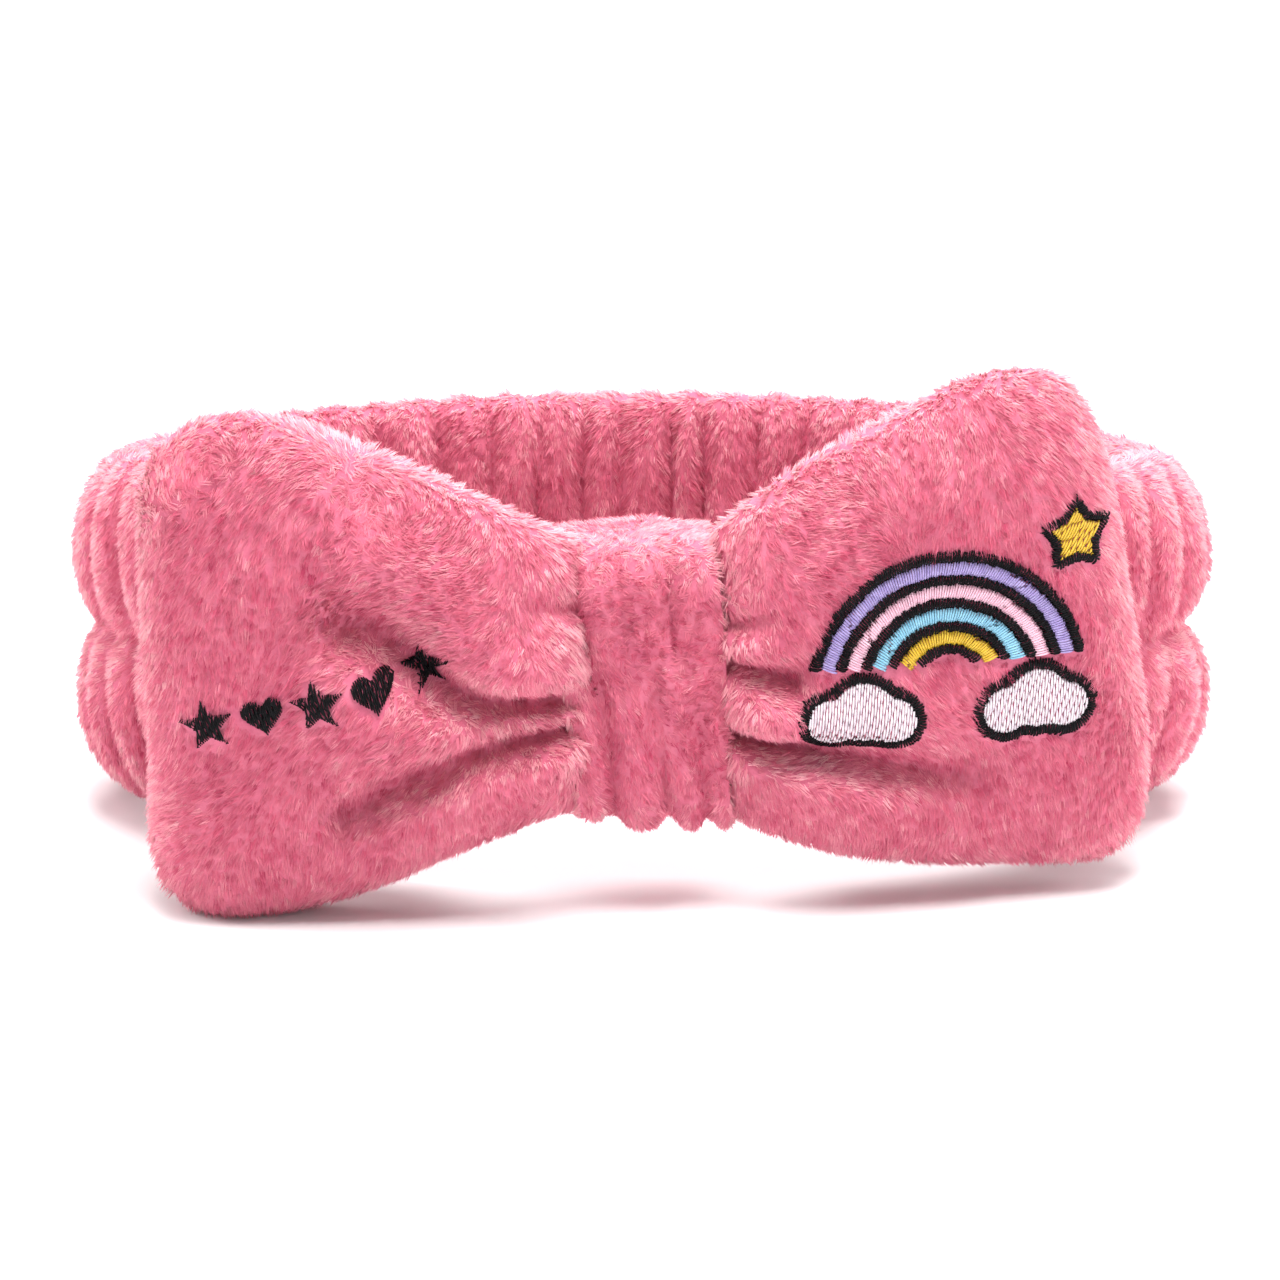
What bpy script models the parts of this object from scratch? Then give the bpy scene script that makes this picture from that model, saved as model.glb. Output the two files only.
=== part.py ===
"""Spa headband: a ruched elastic loop of coral fleece with a padded bow at the front.

Metres, +Z up. The wearer's forehead is at -Y and the bow faces -Y. X runs across the bow.
The origin is the middle of the footprint, on the surface that the headband stands on.

The loop is an ellipse seen from above. Its front is held up by the bow and its back half
lies on the surface. Angles run round the loop from +X, so -90 is the knot and +90 the back.
"""

import math

import bmesh
import bpy
from mathutils import Matrix, Vector

MM = 0.001

# ---- driving dimensions -------------------------------------------------------------
LOOP_HALF_WIDTH = 97.0 * MM
LOOP_HALF_DEPTH = 44.0 * MM
LOOP_CENTRE_Y = 8.8 * MM
BAND_HEIGHT = 66.0 * MM
FLEECE = 2.6 * MM
GAP = 0.3 * MM

# The band's middle line is this high at the knot and at the back.
BOW_CENTRE_Z = 47.6 * MM
KNOT_DROP = 4.4 * MM
KNOT_CENTRE_Z = BOW_CENTRE_Z - KNOT_DROP
BACK_CENTRE_Z = BAND_HEIGHT / 2
SAG_STARTS_Y = 41.0 * MM
SAG_POWER = 2.0

# Angles round the loop, in degrees, where one section ends and the next begins.
JOIN_ANGLE = -40.6
SPLIT_ANGLE = 20.0
SECTION_GAP = 0.75

# Ruched section: two puffed lobes, pinched where the elastic is sewn in.
PINCH_HALF = 3.9 * MM
LOBE_RISE = 3.6 * MM
FOOT_HALF = 3.0 * MM
ELASTIC_WIDTH = 12.0 * MM
ELASTIC_THICKNESS = 1.2 * MM

# Plain section behind the bow, and how far the knot gathers it.
FRONT_HEIGHT = 62.0 * MM
FRONT_HALF = 3.7 * MM
FRONT_WALL = 2.4 * MM
KNOT_SQUEEZE = 0.66

# Bow, in its own frame: u outwards from the knot, w up, forward towards the wearer's front.
BOW_ROLL = math.radians(1.5)
BOW_YAW = math.radians(5.0)
BOW_CENTRE_X = 2.0 * MM
BOW_CENTRE_Y = LOOP_CENTRE_Y - LOOP_HALF_DEPTH - 9.6 * MM
WING_START = 19.4 * MM
WING_END = 90.0 * MM
WING_HALF_START = 24.5 * MM
WING_HALF_END = 45.5 * MM
WING_CORNER = 15.0 * MM
WING_SWEEP = 5.0 * MM
FRONT_BULGE = 8.5 * MM
BACK_BULGE = 2.2 * MM
HINGE_U = 22.0 * MM
STABILISER = 0.15 * MM
STABILISER_ROOM = 1.7 * MM

# Knot: a strip of fleece wrapped once round the bow and the band.
KNOT_WIDTH = 31.0 * MM
KNOT_HEIGHT = 52.0 * MM
KNOT_DEPTH = 28.4 * MM
KNOT_CORNER = 9.0 * MM
KNOT_WALL = 3.6 * MM

# Threads and embroidery.
SEWING_THREAD = 0.35 * MM
SATIN_HEIGHT = 0.9 * MM
OUTLINE_WIDTH = 1.5 * MM

# ---- colours (sRGB hex) and finishes ------------------------------------------------
COLOURS = {
    "fleece": ("E4738F", 0.95),
    "fleece_back": ("DE6B88", 0.95),
    "wadding": ("F4F1EC", 1.0),
    "elastic": ("F2F0EE", 0.8),
    "stabiliser": ("F5F5F5", 0.9),
    "thread_pink": ("D9657F", 0.7),
    "thread_black": ("17161A", 0.55),
    "thread_white": ("F0E9EE", 0.5),
    "thread_rose": ("F2BFD2", 0.5),
    "thread_blue": ("8CC4DC", 0.5),
    "thread_lavender": ("A795CC", 0.5),
    "thread_yellow": ("D9B32A", 0.5),
}


# ---- scene helpers ------------------------------------------------------------------
def clear_scene():
    for obj in list(bpy.data.objects):
        bpy.data.objects.remove(obj)


def new_collection(name):
    collection = bpy.data.collections.new(name)
    bpy.context.scene.collection.children.link(collection)
    return collection


def linear(channel):
    return channel / 12.92 if channel <= 0.04045 else ((channel + 0.055) / 1.055) ** 2.4


def material(kind):
    found = bpy.data.materials.get(kind)
    if found:
        return found
    code, roughness = COLOURS[kind]
    made = bpy.data.materials.new(kind)
    made.use_nodes = True
    shader = made.node_tree.nodes["Principled BSDF"]
    rgb = [linear(int(code[i : i + 2], 16) / 255) for i in (0, 2, 4)]
    shader.inputs["Base Color"].default_value = (*rgb, 1.0)
    shader.inputs["Roughness"].default_value = roughness
    shader.inputs["Metallic"].default_value = 0.0
    return made


def add_part(name, data, kind, parent=None):
    """Links a mesh or curve as a named part. Its points are already in the object's frame."""
    data.materials.clear()
    data.materials.append(material(kind))
    obj = bpy.data.objects.new(name, data)
    PARTS.objects.link(obj)
    if parent is not None:
        obj.parent = parent
        obj.matrix_parent_inverse = parent.matrix_world.inverted()
    return obj


def add_pivot(name, place):
    pivot = bpy.data.objects.new(name, None)
    pivot.location = place
    PARTS.objects.link(pivot)
    bpy.context.view_layer.update()
    return pivot


def helper_profile(name, points):
    """A closed flat outline that a curve uses as its cross-section."""
    curve = bpy.data.curves.new(name, "CURVE")
    curve.dimensions = "2D"
    curve.fill_mode = "NONE"
    spline = curve.splines.new("POLY")
    spline.points.add(len(points) - 1)
    for point, (across, up) in zip(spline.points, points, strict=True):
        point.co = (across, up, 0.0, 1.0)
    spline.use_cyclic_u = True
    profile = bpy.data.objects.new(name, curve)
    profile.hide_render = True
    profile.display_type = "WIRE"
    HELPERS.objects.link(profile)
    return profile


def path_curve(name, points, radii=None, cyclic=False):
    curve = bpy.data.curves.new(name, "CURVE")
    curve.dimensions = "3D"
    curve.twist_mode = "Z_UP"
    spline = curve.splines.new("POLY")
    spline.points.add(len(points) - 1)
    for i, (point, place) in enumerate(zip(spline.points, points, strict=True)):
        point.co = (*place, 1.0)
        point.radius = radii[i] if radii else 1.0
    spline.use_cyclic_u = cyclic
    return curve


def thread(name, points, radius, kind, parent=None, cyclic=False):
    """A sewing or embroidery thread that follows its points, round and closed at its ends."""
    curve = path_curve(name, points, cyclic=cyclic)
    curve.bevel_depth = radius
    curve.bevel_resolution = 1
    curve.use_fill_caps = not cyclic
    return add_part(name, curve, kind, parent)


def face_outwards(work):
    """Turns a closed body's faces to point out of it, whichever way it was mirrored."""
    bmesh.ops.recalc_face_normals(work, faces=work.faces)
    if work.calc_volume(signed=True) < 0:
        bmesh.ops.reverse_faces(work, faces=work.faces)


def mesh_of_curve(curve):
    """The curve's mesh, with its caps welded on."""
    carrier = bpy.data.objects.new("carrier", curve)
    HELPERS.objects.link(carrier)
    graph = bpy.context.evaluated_depsgraph_get()
    mesh = bpy.data.meshes.new_from_object(carrier.evaluated_get(graph))
    bpy.data.objects.remove(carrier)
    work = bmesh.new()
    work.from_mesh(mesh)
    bmesh.ops.remove_doubles(work, verts=work.verts, dist=0.02 * MM)
    face_outwards(work)
    work.to_mesh(mesh)
    work.free()
    return mesh


# ---- the loop -----------------------------------------------------------------------
def band_centre_z(y):
    """How high the band's middle line is, from its sag between the knot and the back."""
    knot_y = LOOP_CENTRE_Y - LOOP_HALF_DEPTH
    share = (SAG_STARTS_Y - y) / (SAG_STARTS_Y - knot_y)
    share = min(1.0, max(0.0, share))
    return BACK_CENTRE_Z + (KNOT_CENTRE_Z - BACK_CENTRE_Z) * share**SAG_POWER


def middle_line(angle):
    a = math.radians(angle)
    y = LOOP_CENTRE_Y + LOOP_HALF_DEPTH * math.sin(a)
    return Vector((LOOP_HALF_WIDTH * math.cos(a), y, band_centre_z(y)))


def loop_point(angle, outwards=0.0, up=0.0):
    """A point of the section at an angle round the loop, off the middle line."""
    a = math.radians(angle)
    normal = Vector((math.cos(a) / LOOP_HALF_WIDTH, math.sin(a) / LOOP_HALF_DEPTH, 0)).normalized()
    along = (middle_line(angle + 0.05) - middle_line(angle - 0.05)).normalized()
    return middle_line(angle) + normal * outwards + normal.cross(along) * up


def spread(start, end, count):
    """Angles from start to end. One more lies close to each end, so the ends are cut square."""
    step = (end - start) / (count - 1)
    angles = [start + step * i for i in range(count)]
    return [angles[0], angles[0] + step * 0.1, *angles[1:-1], angles[-1] - step * 0.1, angles[-1]]


def loop_points(start, end, count, outwards=0.0, up=0.0):
    return [loop_point(angle, outwards, up) for angle in spread(start, end, count)]


def ruched_profile():
    """Half-thickness of the two lobes, top to bottom, then back up. The foot is flat."""
    half = BAND_HEIGHT / 2
    count = 10
    side = []
    for i in range(count + 1):
        q = math.cos(math.pi * i / count)
        lobes = PINCH_HALF + LOBE_RISE * math.sin(math.pi * q) ** 2
        thick = math.sqrt(max(0.0, 1 - q**8)) * lobes
        if i == count:
            thick = FOOT_HALF
        side.append((thick, q * half))
    side[0] = (FOOT_HALF * 0.4, half)
    return side + [(-thick, z) for thick, z in reversed(side)]


def flat_profile(height, half, corner_steps=3):
    """A flat sleeve's section: two straight faces with round ends."""
    straight = height / 2 - half
    points = []
    for centre, first in ((straight, 0.0), (-straight, math.pi)):
        for i in range(2 * corner_steps + 1):
            a = first + math.pi * i / (2 * corner_steps)
            points.append((half * math.cos(a), centre + half * math.sin(a)))
    return points


def box_profile(width, thickness):
    return [
        (thickness / 2, width / 2),
        (-thickness / 2, width / 2),
        (-thickness / 2, -width / 2),
        (thickness / 2, -width / 2),
    ]


def sleeve(name, start, end, count, profile, wall, radii=None, kind="fleece"):
    """A hollow fabric tube along the loop, open at both ends."""
    curve = path_curve(name, loop_points(start, end, count), radii)
    curve.bevel_mode = "OBJECT"
    curve.bevel_object = profile
    mesh = mesh_of_curve(curve)
    obj = add_part(name, mesh, kind)
    shell = obj.modifiers.new("fabric", "SOLIDIFY")
    shell.thickness = wall
    shell.offset = -1.0
    shell.use_even_offset = True
    shell.use_rim = True
    return obj


def strip(name, start, end, count, profile, kind):
    """A solid flat strip along the loop."""
    curve = path_curve(name, loop_points(start, end, count))
    curve.bevel_mode = "OBJECT"
    curve.bevel_object = profile
    curve.use_fill_caps = True
    return add_part(name, mesh_of_curve(curve), kind)


def mirrored_span(side, start, end):
    """The same stretch of the loop on the right (+1) or on the left (-1)."""
    return (start, end) if side > 0 else (180 - start, 180 - end)


def squeeze(angle):
    """How far the knot gathers the plain section: full at the knot, none 26 degrees away."""
    away = min(1.0, max(0.0, (abs(angle + 90) - 11) / 15))
    smooth = away * away * (3 - 2 * away)
    return KNOT_SQUEEZE + (1 - KNOT_SQUEEZE) * smooth


def make_band():
    ruched = helper_profile("ruched_section", ruched_profile())
    plain = helper_profile("plain_section", flat_profile(FRONT_HEIGHT, FRONT_HALF))
    tape = helper_profile("elastic_section", box_profile(ELASTIC_WIDTH, ELASTIC_THICKNESS))

    first = -180 - JOIN_ANGLE + SECTION_GAP
    last = JOIN_ANGLE - SECTION_GAP
    radii = [squeeze(angle) for angle in spread(first, last, 33)]
    sleeve("front_band_sleeve", first, last, 33, plain, FRONT_WALL, radii)

    back = (SPLIT_ANGLE + SECTION_GAP, 180 - SPLIT_ANGLE - SECTION_GAP)
    sleeve("ruched_sleeve_back", *back, 29, ruched, FLEECE)
    strip("elastic_back", *back, 29, tape, "elastic")

    for side, label in ((1, "right"), (-1, "left")):
        span = mirrored_span(side, JOIN_ANGLE + SECTION_GAP, SPLIT_ANGLE - SECTION_GAP)
        sleeve(f"ruched_sleeve_{label}", *span, 11, ruched, FLEECE)
        strip(f"elastic_{label}", *span, 11, tape, "elastic")


def make_band_threads():
    """The two threads of the seam that sews the elastic in, the join seams and the tacks."""
    offsets = {
        "needle_thread": PINCH_HALF + GAP + SEWING_THREAD,
        "bobbin_thread": -PINCH_HALF - GAP - SEWING_THREAD,
    }
    for thread_name, off in offsets.items():
        back = (SPLIT_ANGLE + 1.0, 179.0 - SPLIT_ANGLE)
        thread(f"{thread_name}_back", loop_points(*back, 33, off), SEWING_THREAD, "thread_pink")
        for side, label in ((1, "right"), (-1, "left")):
            span = mirrored_span(side, JOIN_ANGLE + 1.5, SPLIT_ANGLE - 1.0)
            points = loop_points(*span, 15, off)
            thread(f"{thread_name}_{label}", points, SEWING_THREAD, "thread_pink")

    clear = GAP + SEWING_THREAD
    seam = flat_profile(FRONT_HEIGHT + 2 * clear, FRONT_HALF + clear)
    for side, label in ((1, "right"), (-1, "left")):
        angle = JOIN_ANGLE - 1.5 if side > 0 else 180 - JOIN_ANGLE + 1.5
        ring = [loop_point(angle, across, up) for across, up in seam]
        thread(f"join_seam_{label}", ring, SEWING_THREAD, "thread_pink", cyclic=True)

        zigs = 9
        tack = []
        for i in range(zigs):
            turn = angle - side * (2.0 + 1.3 * (i % 2))
            up = ELASTIC_WIDTH * (i / (zigs - 1) - 0.5)
            tack.append(loop_point(turn, FRONT_HALF + clear, up))
        thread(f"elastic_tack_{label}", tack, SEWING_THREAD, "thread_pink")


# ---- the bow ------------------------------------------------------------------------
def wing_half_height(u):
    """The wing flares from the knot and ends in two round corners."""
    reach = (WING_END - 14 * MM - u) / (WING_END - 14 * MM - WING_START)
    flare = max(0.0, reach) ** 1.5
    half = WING_HALF_END - (WING_HALF_END - WING_HALF_START) * flare
    past = u - (WING_END - WING_CORNER)
    if past > 0:
        half -= WING_CORNER - math.sqrt(max(0.0, WING_CORNER**2 - past**2))
    return half


def swell(u, share):
    """1 in the middle of the wing and 0 at its seams. share runs from -1 to 1 up the wing."""
    across = 1 - abs(share) ** 3.0
    near_end = min(1.0, (WING_END - u) / (22 * MM))
    along = 1 - (1 - near_end) ** 2
    near_knot = 0.55 + 0.45 * min(1.0, (u - WING_START) / (25 * MM))
    return across * along * near_knot


def wing_plane(u):
    """How far the wing's seam plane lies behind the bow's centre plane at u."""
    share = max(0.0, u - WING_START) / (WING_END - WING_START)
    return WING_SWEEP * share**1.2


def bow_frame():
    """The bow sits on the band rolled a little, with its left wing turned forwards."""
    place = Matrix.Translation((BOW_CENTRE_X, BOW_CENTRE_Y, BOW_CENTRE_Z))
    return place @ Matrix.Rotation(BOW_YAW, 4, "Z") @ Matrix.Rotation(-BOW_ROLL, 4, "Y")


def bow_to_world(side, u, w, forward):
    return bow_frame() @ Vector((side * u, -forward, w))


def front_skin(u, share):
    """How far forward of the centre plane the wing's front is."""
    return FLEECE + GAP / 2 + FRONT_BULGE * swell(u, share) - wing_plane(u)


def back_skin(u, share):
    return -(FLEECE + GAP / 2 + BACK_BULGE * swell(u, share)) - wing_plane(u)


def wing_layer(name, side, near, far, kind, parent, inset=0.0, cuts=(12, 10)):
    """A box primitive moulded to the wing's outline, between a far and a near surface."""
    work = bmesh.new()
    bmesh.ops.create_cube(work, size=2.0)
    for axis, number in ((0, cuts[0]), (2, cuts[1])):
        edges = [
            e for e in work.edges
            if abs((e.verts[0].co - e.verts[1].co)[axis]) > 1e-6
            and sum(abs(c) > 1e-6 for c in e.verts[0].co - e.verts[1].co) == 1
        ]
        bmesh.ops.subdivide_edges(work, edges=edges, cuts=number - 1, use_grid_fill=True)
    first, last = WING_START + inset, WING_END - inset
    for vert in work.verts:
        # Points crowd towards the round outer end, where the outline turns fastest.
        along = math.sin((vert.co.x + 1) * math.pi / 4)
        u = first + (last - first) * along
        share = vert.co.z
        outline = wing_half_height(min(u + inset * 0.4, WING_END - 0.2 * MM)) - inset
        outline = max(outline, 2 * MM)
        surface = near if vert.co.y < 0 else far
        vert.co = bow_to_world(side, u, outline * share, surface(u, share))
    face_outwards(work)
    mesh = bpy.data.meshes.new(name)
    work.to_mesh(mesh)
    work.free()
    return add_part(name, mesh, kind, parent)


def make_wing(side, label, parent):
    wing_layer(
        f"{label}_wing_front_panel", side, front_skin,
        lambda u, share: front_skin(u, share) - FLEECE, "fleece", parent,
    )
    wing_layer(
        f"{label}_wing_back_panel", side,
        lambda u, share: back_skin(u, share) + FLEECE,
        back_skin, "fleece_back", parent,
    )
    wing_layer(
        f"{label}_wing_wadding", side,
        lambda u, share: front_skin(u, share) - FLEECE - STABILISER_ROOM,
        lambda u, share: back_skin(u, share) + FLEECE + 1.5 * GAP,
        "wadding", parent, inset=9 * MM, cuts=(8, 6),
    )


def make_bow_centre():
    """The bow's gathered middle, where the panels pleat as they pass through the knot."""
    pleats, steps = 5, 6
    half_height = 21.2 * MM
    depth, ripple = 4.0 * MM, 0.9 * MM
    outline = []
    for sign in (1, -1):
        for i in range(pleats * steps + 1):
            share = i / (pleats * steps)
            up = sign * half_height * (1 - 2 * share)
            wave = ripple * math.cos(2 * math.pi * pleats * share)
            ends = math.sqrt(max(0.0, 1 - (abs(1 - 2 * share)) ** 6))
            outline.append((sign * (1.0 * MM + ends * (depth - 1.0 * MM) - wave * ends), up))
    extrude_outline("bow_centre_gather", outline, WING_START - 3.0 * MM, "fleece")


def extrude_outline(name, outline, half_width, kind, bevel=0.0, forward=0.0):
    """A flat outline (forward, up) about the knot's centre, extruded both ways across the bow."""
    curve = bpy.data.curves.new(name, "CURVE")
    curve.dimensions = "2D"
    curve.fill_mode = "BOTH"
    curve.extrude = half_width
    spline = curve.splines.new("POLY")
    spline.points.add(len(outline) - 1)
    for point, (ahead, up) in zip(spline.points, outline, strict=True):
        point.co = (ahead, up, 0.0, 1.0)
    spline.use_cyclic_u = True
    mesh = mesh_of_curve(curve)
    # The outline's own x points forwards (-Y), its y up and its extrusion across the bow.
    turn = Matrix(((0, 0, 1, 0), (-1, 0, 0, 0), (0, 1, 0, 0), (0, 0, 0, 1)))
    mesh.transform(bow_frame() @ Matrix.Translation((0, -forward, -KNOT_DROP)) @ turn)
    work = bmesh.new()
    work.from_mesh(mesh)
    face_outwards(work)
    work.to_mesh(mesh)
    work.free()
    obj = add_part(name, mesh, kind)
    if bevel:
        soft = obj.modifiers.new("soft_edges", "BEVEL")
        soft.width = bevel
        soft.segments = 2
        soft.limit_method = "ANGLE"
        soft.angle_limit = math.radians(50)
    return obj


def round_rectangle(depth, height, corner, steps=4):
    points = []
    for quarter, (sx, sy) in enumerate(((1, 1), (-1, 1), (-1, -1), (1, -1))):
        for i in range(steps + 1):
            a = math.pi / 2 * (quarter + i / steps)
            cx, cy = sx * (depth / 2 - corner), sy * (height / 2 - corner)
            points.append((cx + corner * math.cos(a), cy + corner * math.sin(a)))
    return points


def make_knot():
    """A strip wrapped once round: its two ends meet at the back, where a thread closes them."""
    outer = round_rectangle(KNOT_DEPTH, KNOT_HEIGHT, KNOT_CORNER)
    inner = round_rectangle(
        KNOT_DEPTH - 2 * KNOT_WALL, KNOT_HEIGHT - 2 * KNOT_WALL, KNOT_CORNER - KNOT_WALL
    )
    # Both loops start on the front; they are turned to start at the slit at the back.
    half = len(outer) // 2
    slit = GAP
    back = -KNOT_DEPTH / 2
    outline = (
        [(back, -slit)] + outer[half:] + outer[:half] + [(back, slit)]
        + [(back + KNOT_WALL, slit)]
        + inner[:half][::-1] + inner[half:][::-1]
        + [(back + KNOT_WALL, -slit)]
    )
    centre = -5.0 * MM
    extrude_outline("knot_wrap", outline, KNOT_WIDTH / 2, "fleece", 1.5 * MM, centre)

    zigs = 9
    lift = KNOT_DEPTH / 2 + GAP + SEWING_THREAD
    points = []
    for i in range(zigs):
        across = (i / (zigs - 1) - 0.5) * (KNOT_WIDTH - 8 * MM)
        up = 2.2 * MM * (1 if i % 2 else -1) - KNOT_DROP
        points.append(bow_to_world(1, across, up, centre - lift))
    thread("knot_closing_thread", points, SEWING_THREAD, "thread_pink")


# ---- embroidery ---------------------------------------------------------------------
def on_wing(side, u, w, lift):
    """A point of the wing's front, lifted off its surface."""
    share = max(-1.0, min(1.0, w / wing_half_height(u)))
    return bow_to_world(side, u, w, front_skin(u, share) + lift)


def patch(name, side, outline, lift, height, kind, parent, edge=2.2 * MM):
    """A thin plate with a given outline (u, w) that lies on the wing's curved front."""
    curve = bpy.data.curves.new(name, "CURVE")
    curve.dimensions = "2D"
    curve.fill_mode = "BOTH"
    curve.extrude = height / 2
    spline = curve.splines.new("POLY")
    spline.points.add(len(outline) - 1)
    for point, (u, w) in zip(spline.points, outline, strict=True):
        point.co = (u, w, 0.0, 1.0)
    spline.use_cyclic_u = True
    mesh = mesh_of_curve(curve)
    work = bmesh.new()
    work.from_mesh(mesh)
    # Long edges inside the flat faces are cut, so that the plate can follow the wing.
    bmesh.ops.triangulate(work, faces=work.faces)
    for _ in range(2):
        long = [e for e in work.edges if e.calc_length() > 2 * edge]
        if long:
            bmesh.ops.subdivide_edges(work, edges=long, cuts=1)
            bmesh.ops.triangulate(work, faces=work.faces)
    for vert in work.verts:
        u, w, level = vert.co
        vert.co = on_wing(side, u, w, lift + height / 2 + level)
    face_outwards(work)
    work.to_mesh(mesh)
    work.free()
    return add_part(name, mesh, kind, parent)


def satin_run(name, side, line, width, kind, parent, cyclic=False):
    """A run of satin stitch along a line (u, w) on the wing: a low flat ridge of thread."""
    half = width / 2
    if cyclic:
        line = line + [line[0], line[1]]
    rows = []
    for i, (u, w) in enumerate(line):
        before, after = line[max(0, i - 1)], line[min(len(line) - 1, i + 1)]
        if cyclic and i in (0, len(line) - 2):
            before, after = line[-3], line[1]
        direction = Vector((after[0] - before[0], after[1] - before[1])).normalized()
        normal = Vector((-direction.y, direction.x))
        rows.append((Vector((u, w)), normal))
    if cyclic:
        rows = rows[:-2]
    section = [(-half, 0.1), (-half * 0.6, 1.0), (half * 0.6, 1.0), (half, 0.1), (0.0, 0.0)]
    work = bmesh.new()
    rings = []
    for centre, normal in rows:
        ring = []
        for across, level in section:
            place = centre + normal * across
            lift = GAP + SATIN_HEIGHT * level
            ring.append(work.verts.new(on_wing(side, place.x, place.y, lift)))
        rings.append(ring)
    pairs = list(zip(rings, rings[1:], strict=False))
    if cyclic:
        pairs.append((rings[-1], rings[0]))
    size = len(section)
    for first, second in pairs:
        for k in range(size):
            work.faces.new((first[k], first[(k + 1) % size], second[(k + 1) % size], second[k]))
    if not cyclic:
        work.faces.new(rings[0][::-1])
        work.faces.new(rings[-1])
    face_outwards(work)
    mesh = bpy.data.meshes.new(name)
    work.to_mesh(mesh)
    work.free()
    return add_part(name, mesh, kind, parent)


def arc(centre, radius, start, end, count):
    step = math.radians(end - start) / (count - 1)
    first = math.radians(start)
    return [
        (
            centre[0] + radius * math.cos(first + step * i),
            centre[1] + radius * math.sin(first + step * i),
        )
        for i in range(count)
    ]


def star(centre, radius, inner_share=0.5, turn=90.0):
    points = []
    for i in range(10):
        reach = radius if i % 2 == 0 else radius * inner_share
        a = math.radians(turn + 36 * i)
        points.append((centre[0] + reach * math.cos(a), centre[1] + reach * math.sin(a)))
    return points


def heart(centre, size, turn=0.0, count=20):
    """The usual heart curve, about size across."""
    points = []
    for i in range(count):
        a = 2 * math.pi * i / count
        x = math.sin(a) ** 3
        y = (13 * math.cos(a) - 5 * math.cos(2 * a) - 2 * math.cos(3 * a) - math.cos(4 * a)) / 16
        c, s = math.cos(math.radians(turn)), math.sin(math.radians(turn))
        x, y = x * size / 2, y * size / 2
        points.append((centre[0] + x * c - y * s, centre[1] + x * s + y * c))
    return points


def cloud(centre, size, grow=0.0, count=30):
    """The outline of three round puffs together, seen from the middle of them."""
    puffs = (((-0.6, -0.08), 0.44), ((0.05, 0.12), 0.56), ((0.62, -0.08), 0.42))
    reaches = []
    for i in range(count):
        a = 2 * math.pi * i / count
        ray = Vector((math.cos(a), math.sin(a)))
        reach = 0.0
        for place, radius in puffs:
            along = ray.dot(Vector(place) * size)
            inside = (radius * size + grow) ** 2 - (Vector(place) * size).length_squared
            if along * along + inside > 0:
                reach = max(reach, along + math.sqrt(along * along + inside))
        reaches.append((ray, reach))
    points = []
    for i, (ray, reach) in enumerate(reaches):
        smooth = (reaches[i - 1][1] + 2 * reach + reaches[(i + 1) % count][1]) / 4
        points.append((centre[0] + ray.x * smooth, centre[1] + ray.y * smooth))
    return points


RAINBOW_CENTRE = (50.0 * MM, -6.0 * MM)
RAINBOW_FOOT = 4.4 * MM
RAINBOW_BANDS = (
    ("lavender", 21.3 * MM),
    ("rose", 17.1 * MM),
    ("blue", 12.9 * MM),
    ("yellow", 8.7 * MM),
)
BAND_WIDTH = 2.2 * MM
BAND_PITCH = 4.2 * MM
CLOUD_SIZE = 8.6 * MM
CLOUDS = {"left": (34.8 * MM, -10.4 * MM), "right": (65.2 * MM, -10.4 * MM)}
STAR_CENTRE = (76.0 * MM, 18.0 * MM)
STAR_RADIUS = 4.6 * MM

CHARM_CENTRE = (58.0 * MM, -3.0 * MM)
CHARM_PITCH = 9.6 * MM
CHARM_SIZE = 9.0 * MM
CHARM_SLOPE = math.radians(12.0)
CHARM_COUNT = 5


def rainbow_line(radius):
    """Each band ends at the same height, just over the clouds."""
    start = math.degrees(math.asin(RAINBOW_FOOT / radius))
    return arc(RAINBOW_CENTRE, radius, start, 180 - start, 17)


def make_rainbow(parent):
    """A rainbow between two clouds with a star beside it, in satin stitch with black edges."""
    for colour, radius in RAINBOW_BANDS:
        line = rainbow_line(radius)
        satin_run(f"rainbow_{colour}", 1, line, BAND_WIDTH, f"thread_{colour}", parent)
    edges = [RAINBOW_BANDS[0][1] + BAND_PITCH / 2 - BAND_PITCH * i for i in range(5)]
    for i, radius in enumerate(edges):
        line = rainbow_line(radius)
        satin_run(f"rainbow_edge_{i + 1}", 1, line, OUTLINE_WIDTH, "thread_black", parent)
    for label, centre in CLOUDS.items():
        shape = cloud(centre, CLOUD_SIZE)
        patch(f"{label}_cloud", 1, shape, GAP, SATIN_HEIGHT, "thread_white", parent)
        line = cloud(centre, CLOUD_SIZE, 2 * GAP + OUTLINE_WIDTH / 2)
        satin_run(f"{label}_cloud_edge", 1, line, OUTLINE_WIDTH, "thread_black", parent, True)
    shape = star(STAR_CENTRE, STAR_RADIUS, 0.55)
    patch("small_star", 1, shape, GAP, SATIN_HEIGHT, "thread_yellow", parent)
    line = star(STAR_CENTRE, STAR_RADIUS + 1.9 * MM, 0.6)
    satin_run("small_star_edge", 1, line, OUTLINE_WIDTH, "thread_black", parent, True)


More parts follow.
